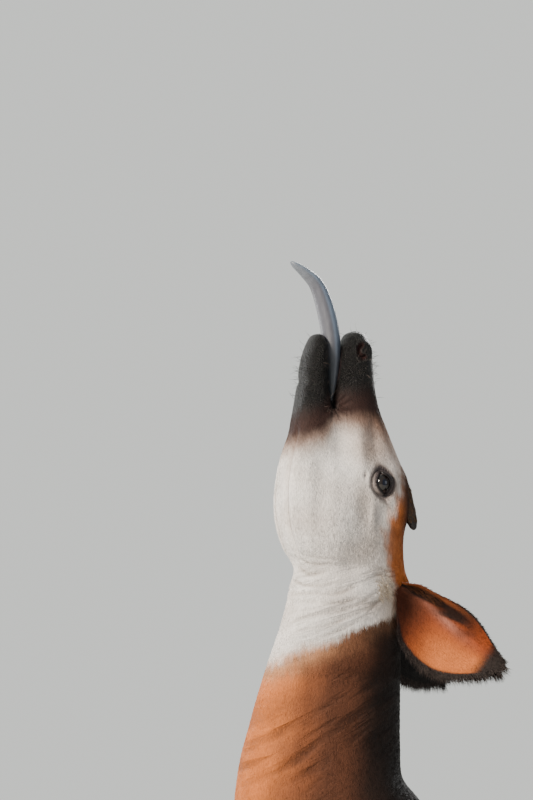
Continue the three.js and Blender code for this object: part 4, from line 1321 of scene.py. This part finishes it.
# Wet flesh: a thin dull film of water over mottled grey and millimetre buds that catch light.
wet, tree = new_material("wet_tongue")
place = add(tree, "ShaderNodeTexCoord").outputs["Object"]
grains = []
for size in ((8.333, 8.333, 16.67), (0.909, 0.909, 1.25)):
    stretched = add(tree, "ShaderNodeMapping", place, Scale=[1000 / mm for mm in size])
    grains.append(add(tree, "ShaderNodeTexNoise", stretched, Scale=1, Detail=3))
own = add(tree, "ShaderNodeAttribute", attribute_name="coat")
mottled = add(tree, "ShaderNodeMapRange", grains[0], 0.3, 0.7, 0.85, 1.12)
shader = add(
    tree,
    "ShaderNodeBsdfPrincipled",
    Base_Color=add(tree, "ShaderNodeVectorMath", own, Scale=mottled, operation="SCALE"),
    Roughness=0.42,
    Coat_Weight=0.25,
    Coat_Roughness=0.3,
    Normal=add(tree, "ShaderNodeBump", Height=grains[1], Distance=0.0005, Strength=0.7),
)
add(tree, "ShaderNodeOutputMaterial", shader)

rings = loft(TONGUE, AROUND, ROWS)
turn = np.linspace(0, 2 * np.pi, AROUND, endpoint=False)[None]
across = rings[..., 1]
groove = 0.16 * bell(across, 0, 5) * smooth(np.cos(turn), 0.2, 0.7)
groove = groove + 0.05 * bell(across, 0, 2.5) * smooth(-np.cos(turn), 0.4, 0.8)
rings = rings + (rings.mean(1, keepdims=True) - rings) * groove[..., None]
tongue, tongue_faces = tube(rings)
top = np.append(np.tile(smooth(np.cos(turn[0]), -0.15, 0.25), ROWS), [0.5, 0.5])
height = tongue[:, 2]
tone = mix(rgb("5a5b64"), rgb("717f93"), top)
tone = mix(tone, rgb("737d88"), 0.6 * smooth(height, 2540, 2600))
tone = mix(tone, rgb("40444b"), smooth(2480 - height, 0, 90))
piece("tongue_flesh", tongue, tongue_faces, wet, tone, nodes=["tongue"], slot="tongue")


# Ossicones
# Short bony horns that lean back from the brow, under dark skin with coarse hair. They are
# made as knobs that thin towards a bare worn tip.
OSSICONE = [
    (69, 46, 2080, 2, 2, 3, 2, 0),
    (68, 46, 2086, 7, 7, 7, 2, 0),
    (63, 46, 2104, 11, 11, 11, 2, 0),
    (54, 46, 2130, 14, 14, 14, 2, 0),
    (46, 46, 2158, 15, 15, 16, 2, 0),
    (42, 46, 2172, 10, 10, 10, 2, 0),
]
# Haired skin over bone: dull and streaked down its length by hair, drawn as wider locks.
horn, tree = new_material("horn_skin")
place = add(tree, "ShaderNodeTexCoord").outputs["Object"]
streak_size = (1.667, 1.667, 11.11)
stretched = add(tree, "ShaderNodeMapping", place, Scale=[1000 / mm for mm in streak_size])
streaks = add(tree, "ShaderNodeTexNoise", stretched, Scale=1, Detail=3)
own = add(tree, "ShaderNodeAttribute", attribute_name="coat")
shade = add(tree, "ShaderNodeMapRange", streaks, 0.3, 0.7, 0.7, 1.3)
lit = add(tree, "ShaderNodeVectorMath", own, Scale=shade, operation="SCALE")
bump = add(tree, "ShaderNodeBump", Height=streaks, Distance=0.0008, Strength=0.8)
shader = add(tree, "ShaderNodeBsdfPrincipled", lit, Roughness=0.5, Normal=bump)
add(tree, "ShaderNodeOutputMaterial", shader)

ROWS, AROUND = 70, 40
for side, word in ((-1, "left"), (1, "right")):
    rings = loft(OSSICONE, AROUND, ROWS, side)
    swell = 0.5 * ripple(rings.reshape(-1, 3), 9, 8).reshape(ROWS, AROUND, 1)
    knob, knob_faces = tube(rings + swell * [1, 1, 0])
    tone = mix(rgb("140d0a"), rgb("38241a"), smooth(knob[:, 2], 2098, 2116))
    nodes = [f"ossicone_{word}"]
    piece(f"horn_{word}", knob, knob_faces, horn, tone, nodes=nodes, slot="horn")
    draw = np.random.default_rng(500 + side)
    count = 1500
    cover = (knob, knob_faces, normals_of(knob, knob_faces))
    root, normal = scatter(cover, smooth(knob[:, 2], 2094, 2106), count, draw)
    way = laid(np.array([0.25, 0, -1]) + draw.normal(0, 0.12, root.shape), normal)
    tone = mix(rgb("3a281b"), rgb("6e5236"), draw.random(count))
    angle = np.arctan2(root[:, 1] - 46 * side, root[:, 0] - 52)
    place = np.stack([angle / 6.4 + 0.5, (root[:, 2] - 2080) / 100], axis=1)
    size = draw.uniform(6, 11, count)
    made = tufts(root, normal, way, size, 0.8, 0.06, tone, place, 1.4, draw)
    hair_piece(f"horn_hair_{word}", made, slot="horn")


# Hooves
# Two claws of horn on each foot. They grow down out of the coronet, their sloped top edge, in
# fine growth rings, and are worn flat by the ground.
CLAW = [
    (12, 0, 120, 30, 28, 14, 2, 0),
    (4, 0, 85, 36, 36, 17, 2, 0),
    (-5, 0, 50, 42, 44, 20, 2.3, 0),
    (-14, 0, 15, 46, 52, 21, 2.4, 0),
    (-22, 0, -25, 48, 56, 21, 2.4, 0),
]
# Horn of a hoof: a dull sheen, dark grey-brown, with lighter growth rings of about 2 mm.
keratin, tree = new_material("keratin")
place = add(tree, "ShaderNodeTexCoord").outputs["Object"]
growth_size = (33.33, 33.33, 2.381)
stretched = add(tree, "ShaderNodeMapping", place, Scale=[1000 / mm for mm in growth_size])
growth = add(tree, "ShaderNodeTexNoise", stretched, Scale=1, Detail=4)
shade = add(tree, "ShaderNodeMapRange", growth, 0.3, 0.7, 0.6, 1.3)
lit = add(tree, "ShaderNodeVectorMath", tuple(rgb("2c2522")), Scale=shade, operation="SCALE")
bump = add(tree, "ShaderNodeBump", Height=growth, Distance=0.0012, Strength=0.8)
shader = add(tree, "ShaderNodeBsdfPrincipled", lit, Roughness=0.45, Normal=bump)
add(tree, "ShaderNodeOutputMaterial", shader)


def trimmed(rings, above):
    """Rings cut flat where above turns positive: the rows past the cut close in on its middle."""
    row = np.arange(len(rings))[:, None]
    side = np.arange(rings.shape[1])
    last = (above <= 0).sum(0) - 1
    start, end = rings[last, side], rings[last + 1, side]
    low, high = above[last, side], above[last + 1, side]
    crossing = start + (end - start) * (low / (low - high))[:, None]
    inset = 1 - 0.9 ** np.maximum(row - last - 1, 0)
    closing = crossing + (crossing.mean(0) - crossing) * inset[..., None]
    return np.where((row > last)[..., None], closing, rings)


# The claws' distance to each side of the foot's middle, and the gap above their top edge.
SPREAD, GAP = 21.5, 0.3
claws = []
for table, side, step in LEGS:
    foot_x, foot_y = table[-2][0] + step, table[-2][1] * side
    for off in (-SPREAD, SPREAD):
        x, y, z = loft(CLAW, 56, 90).transpose(2, 0, 1)
        split = 1 - 0.1 * smooth(60 - z, 0, 60)
        claw = np.stack([x + foot_x, y * split + foot_y + off, z], axis=-1)
        ridges = 0.5 * np.sin(claw[..., 2] / 3.1)
        middle = claw.mean(1, keepdims=True)
        claw = claw + unit((claw - middle) * [1, 1, 0]) * ridges[..., None]
        claw = trimmed(claw, -claw[..., 2])[::-1]
        claw = trimmed(claw, claw[..., 2] - coronet(claw[..., 0], foot_x) + GAP)
        claws.append(tube(claw))
feet = [f"hoof_{leg}_{word}" for leg in ("fore", "hind") for word in ("left", "right")]
hoof_nodes = [f"{foot}_{end}" for foot in feet for end in ("inner", "outer")]
piece("hooves", *together(claws), keratin, nodes=hoof_nodes, slot="hoof")


# Long hair
# The tuft at the end of the tail, the whiskers round the mouth and the pale tuft before each
# ear. They are the same hair as the coat's, grown longer, and stand on the skin one by one.
draw = np.random.default_rng(400)
count = 3600
share = draw.uniform(0, 1, count)
root = blend_rows(TAIL, 4.2 + 2.7 * share)[:, :3]
angle = draw.uniform(0, 2 * np.pi, count)
normal = np.stack([np.cos(angle), np.sin(angle), np.zeros(count)], axis=1)
root = root + normal * (10 * (1 - 0.6 * share))[:, None]
way = unit(normal * [0.05, 0.05, 0] - [0, 0, 1] + draw.normal(0, 0.05, normal.shape))
size = np.minimum(draw.uniform(70, 150, count), root[:, 2] - 850)
tone = np.tile(rgb("17110f"), (count, 1))
place = np.stack([angle / 6.4, share], axis=1) * 0.9 + 0.05
made = tufts(root, normal, way, size, 2.4, 0.06, tone, place, 1.5, draw)
hair_piece("tail_tuft", made, slot="tail_dark")

x, y, z = skin.T
near_lip = bell(z, 2395, 50) * (z > 2330) * ~near(skin, [-82, 0, 2420], [24, 60, 90])
near_corner = 2.0 * bell(np.hypot(x + 90, z - 2320), 16, 12) * (np.abs(y) > 25)
count = 260
root, normal = scatter(body, np.clip(near_lip + near_corner, 0, 2), count, draw)
upward = draw.uniform(-0.5, 0.9, count)[:, None] * [0, 0, 1]
way = unit(normal * 0.9 + upward + draw.normal(0, 0.2, root.shape))
across = unit(np.cross(way, [0.3, 0.2, 1.0]))
tone = mix(rgb("191516"), rgb("7a6d66"), draw.random(count) ** 3)
size = draw.uniform(7, 24, count)
place = unwrapped(root, "head")
hair_piece("whiskers", tufts(root, across, way, size, 0.55, 0.1, tone, place, 1.0, draw))

count = 420
root, normal = scatter(body, spot(skin, [2, 82, 1968], [12, 30, 18]), count, draw)
way = unit(np.array([0.35, 0, -1]) + normal * 0.35 + draw.normal(0, 0.2, root.shape))
tone = mix(rgb("b79c7f"), rgb("ded2c2"), draw.random(count))
size = draw.uniform(9, 19, count)
place = unwrapped(root, "head")
hair_piece("ear_base_tuft", tufts(root, normal, way, size, 0.9, 0.2, tone, place, 1.1, draw))


# Floor, light and camera
# A pale matt studio floor, a large soft lamp from the upper left and weaker ones from the
# other sides. The camera looks along the photograph's line of sight.
paper, tree = new_material("pale_floor")
floor_colour = (*rgb("d9d8d3"), 1)
shader = add(tree, "ShaderNodeBsdfPrincipled", floor_colour, Roughness=0.8)
add(tree, "ShaderNodeOutputMaterial", shader)
corners = np.array([(-5, -5, 0), (5, -5, 0), (5, 5, 0), (-5, 5, 0.0)])
ground = mesh_of("floor", corners, np.array([(0, 1, 2), (0, 2, 3)]))
ground.materials.append(paper)
floor = bpy.data.objects.new("floor", ground)
bpy.context.scene.collection.objects.link(floor)

# The studio is brighter on one side: its light grows with how far a way points there.
world = bpy.data.worlds.new("studio")
world.use_nodes = True
tree = world.node_tree
tree.nodes.clear()
way = add(tree, "ShaderNodeTexCoord").outputs["Generated"]
toward = add(tree, "ShaderNodeVectorMath", way, (-0.6, 0.79, 0.1), operation="DOT_PRODUCT")
power = add(tree, "ShaderNodeMapRange", toward.outputs["Value"], -0.7, 0.45, 0.32, 1)
sky = add(tree, "ShaderNodeBackground", (*rgb("eceeea"), 1), power)
add(tree, "ShaderNodeOutputWorld", sky)
bpy.context.scene.world = world


def lamp(name, place, power, size, tone="ffffff"):
    """A square soft lamp that points at the neck, by the way from its place to there."""
    light = bpy.data.lights.new(name, "AREA")
    light.energy, light.size, light.color = power, size, rgb(tone)
    obj = bpy.data.objects.new(name, light)
    obj.location = place
    aim = Vector((0, 0, 1.7)) - Vector(place)
    obj.rotation_mode = "QUATERNION"
    obj.rotation_quaternion = aim.to_track_quat("-Z", "Y")
    bpy.context.scene.collection.objects.link(obj)


lamp("key_lamp", (-4.7, -2.0, 4.4), 500, 1.4, "fff4e4")
lamp("fill_lamp", (2.6, -4.2, 2.6), 30, 2.6, "eef3ff")
lamp("rim_lamp", (2.4, 3.6, 4.4), 160, 2.0)
lamp("back_lamp", (-3.0, 4.0, 3.0), 80, 2.4)

# The camera's distance and the width of its view there, in metres, and the place it looks at.
DISTANCE, VIEW_WIDTH = 9.0, 1.552
SENSOR = 36
TARGET = [-206.7, 29.2, 2332.1]
sight = Vector((0.2917, 0.9540, 0.0698)).normalized()
upward = Vector((-0.0204, -0.0667, 0.9976))
right = sight.cross(upward).normalized()
upward = right.cross(sight)
target = Vector((np.array(TARGET) + SHIFT) / 1000)
lens = bpy.data.cameras.new("camera")
lens.lens = SENSOR * DISTANCE / VIEW_WIDTH
lens.clip_end = 100
camera = bpy.data.objects.new("camera", lens)
turn = Matrix((right, upward, -sight)).transposed().to_4x4()
camera.matrix_world = Matrix.Translation(target - sight * DISTANCE) @ turn
bpy.context.scene.collection.objects.link(camera)
bpy.context.scene.camera = camera
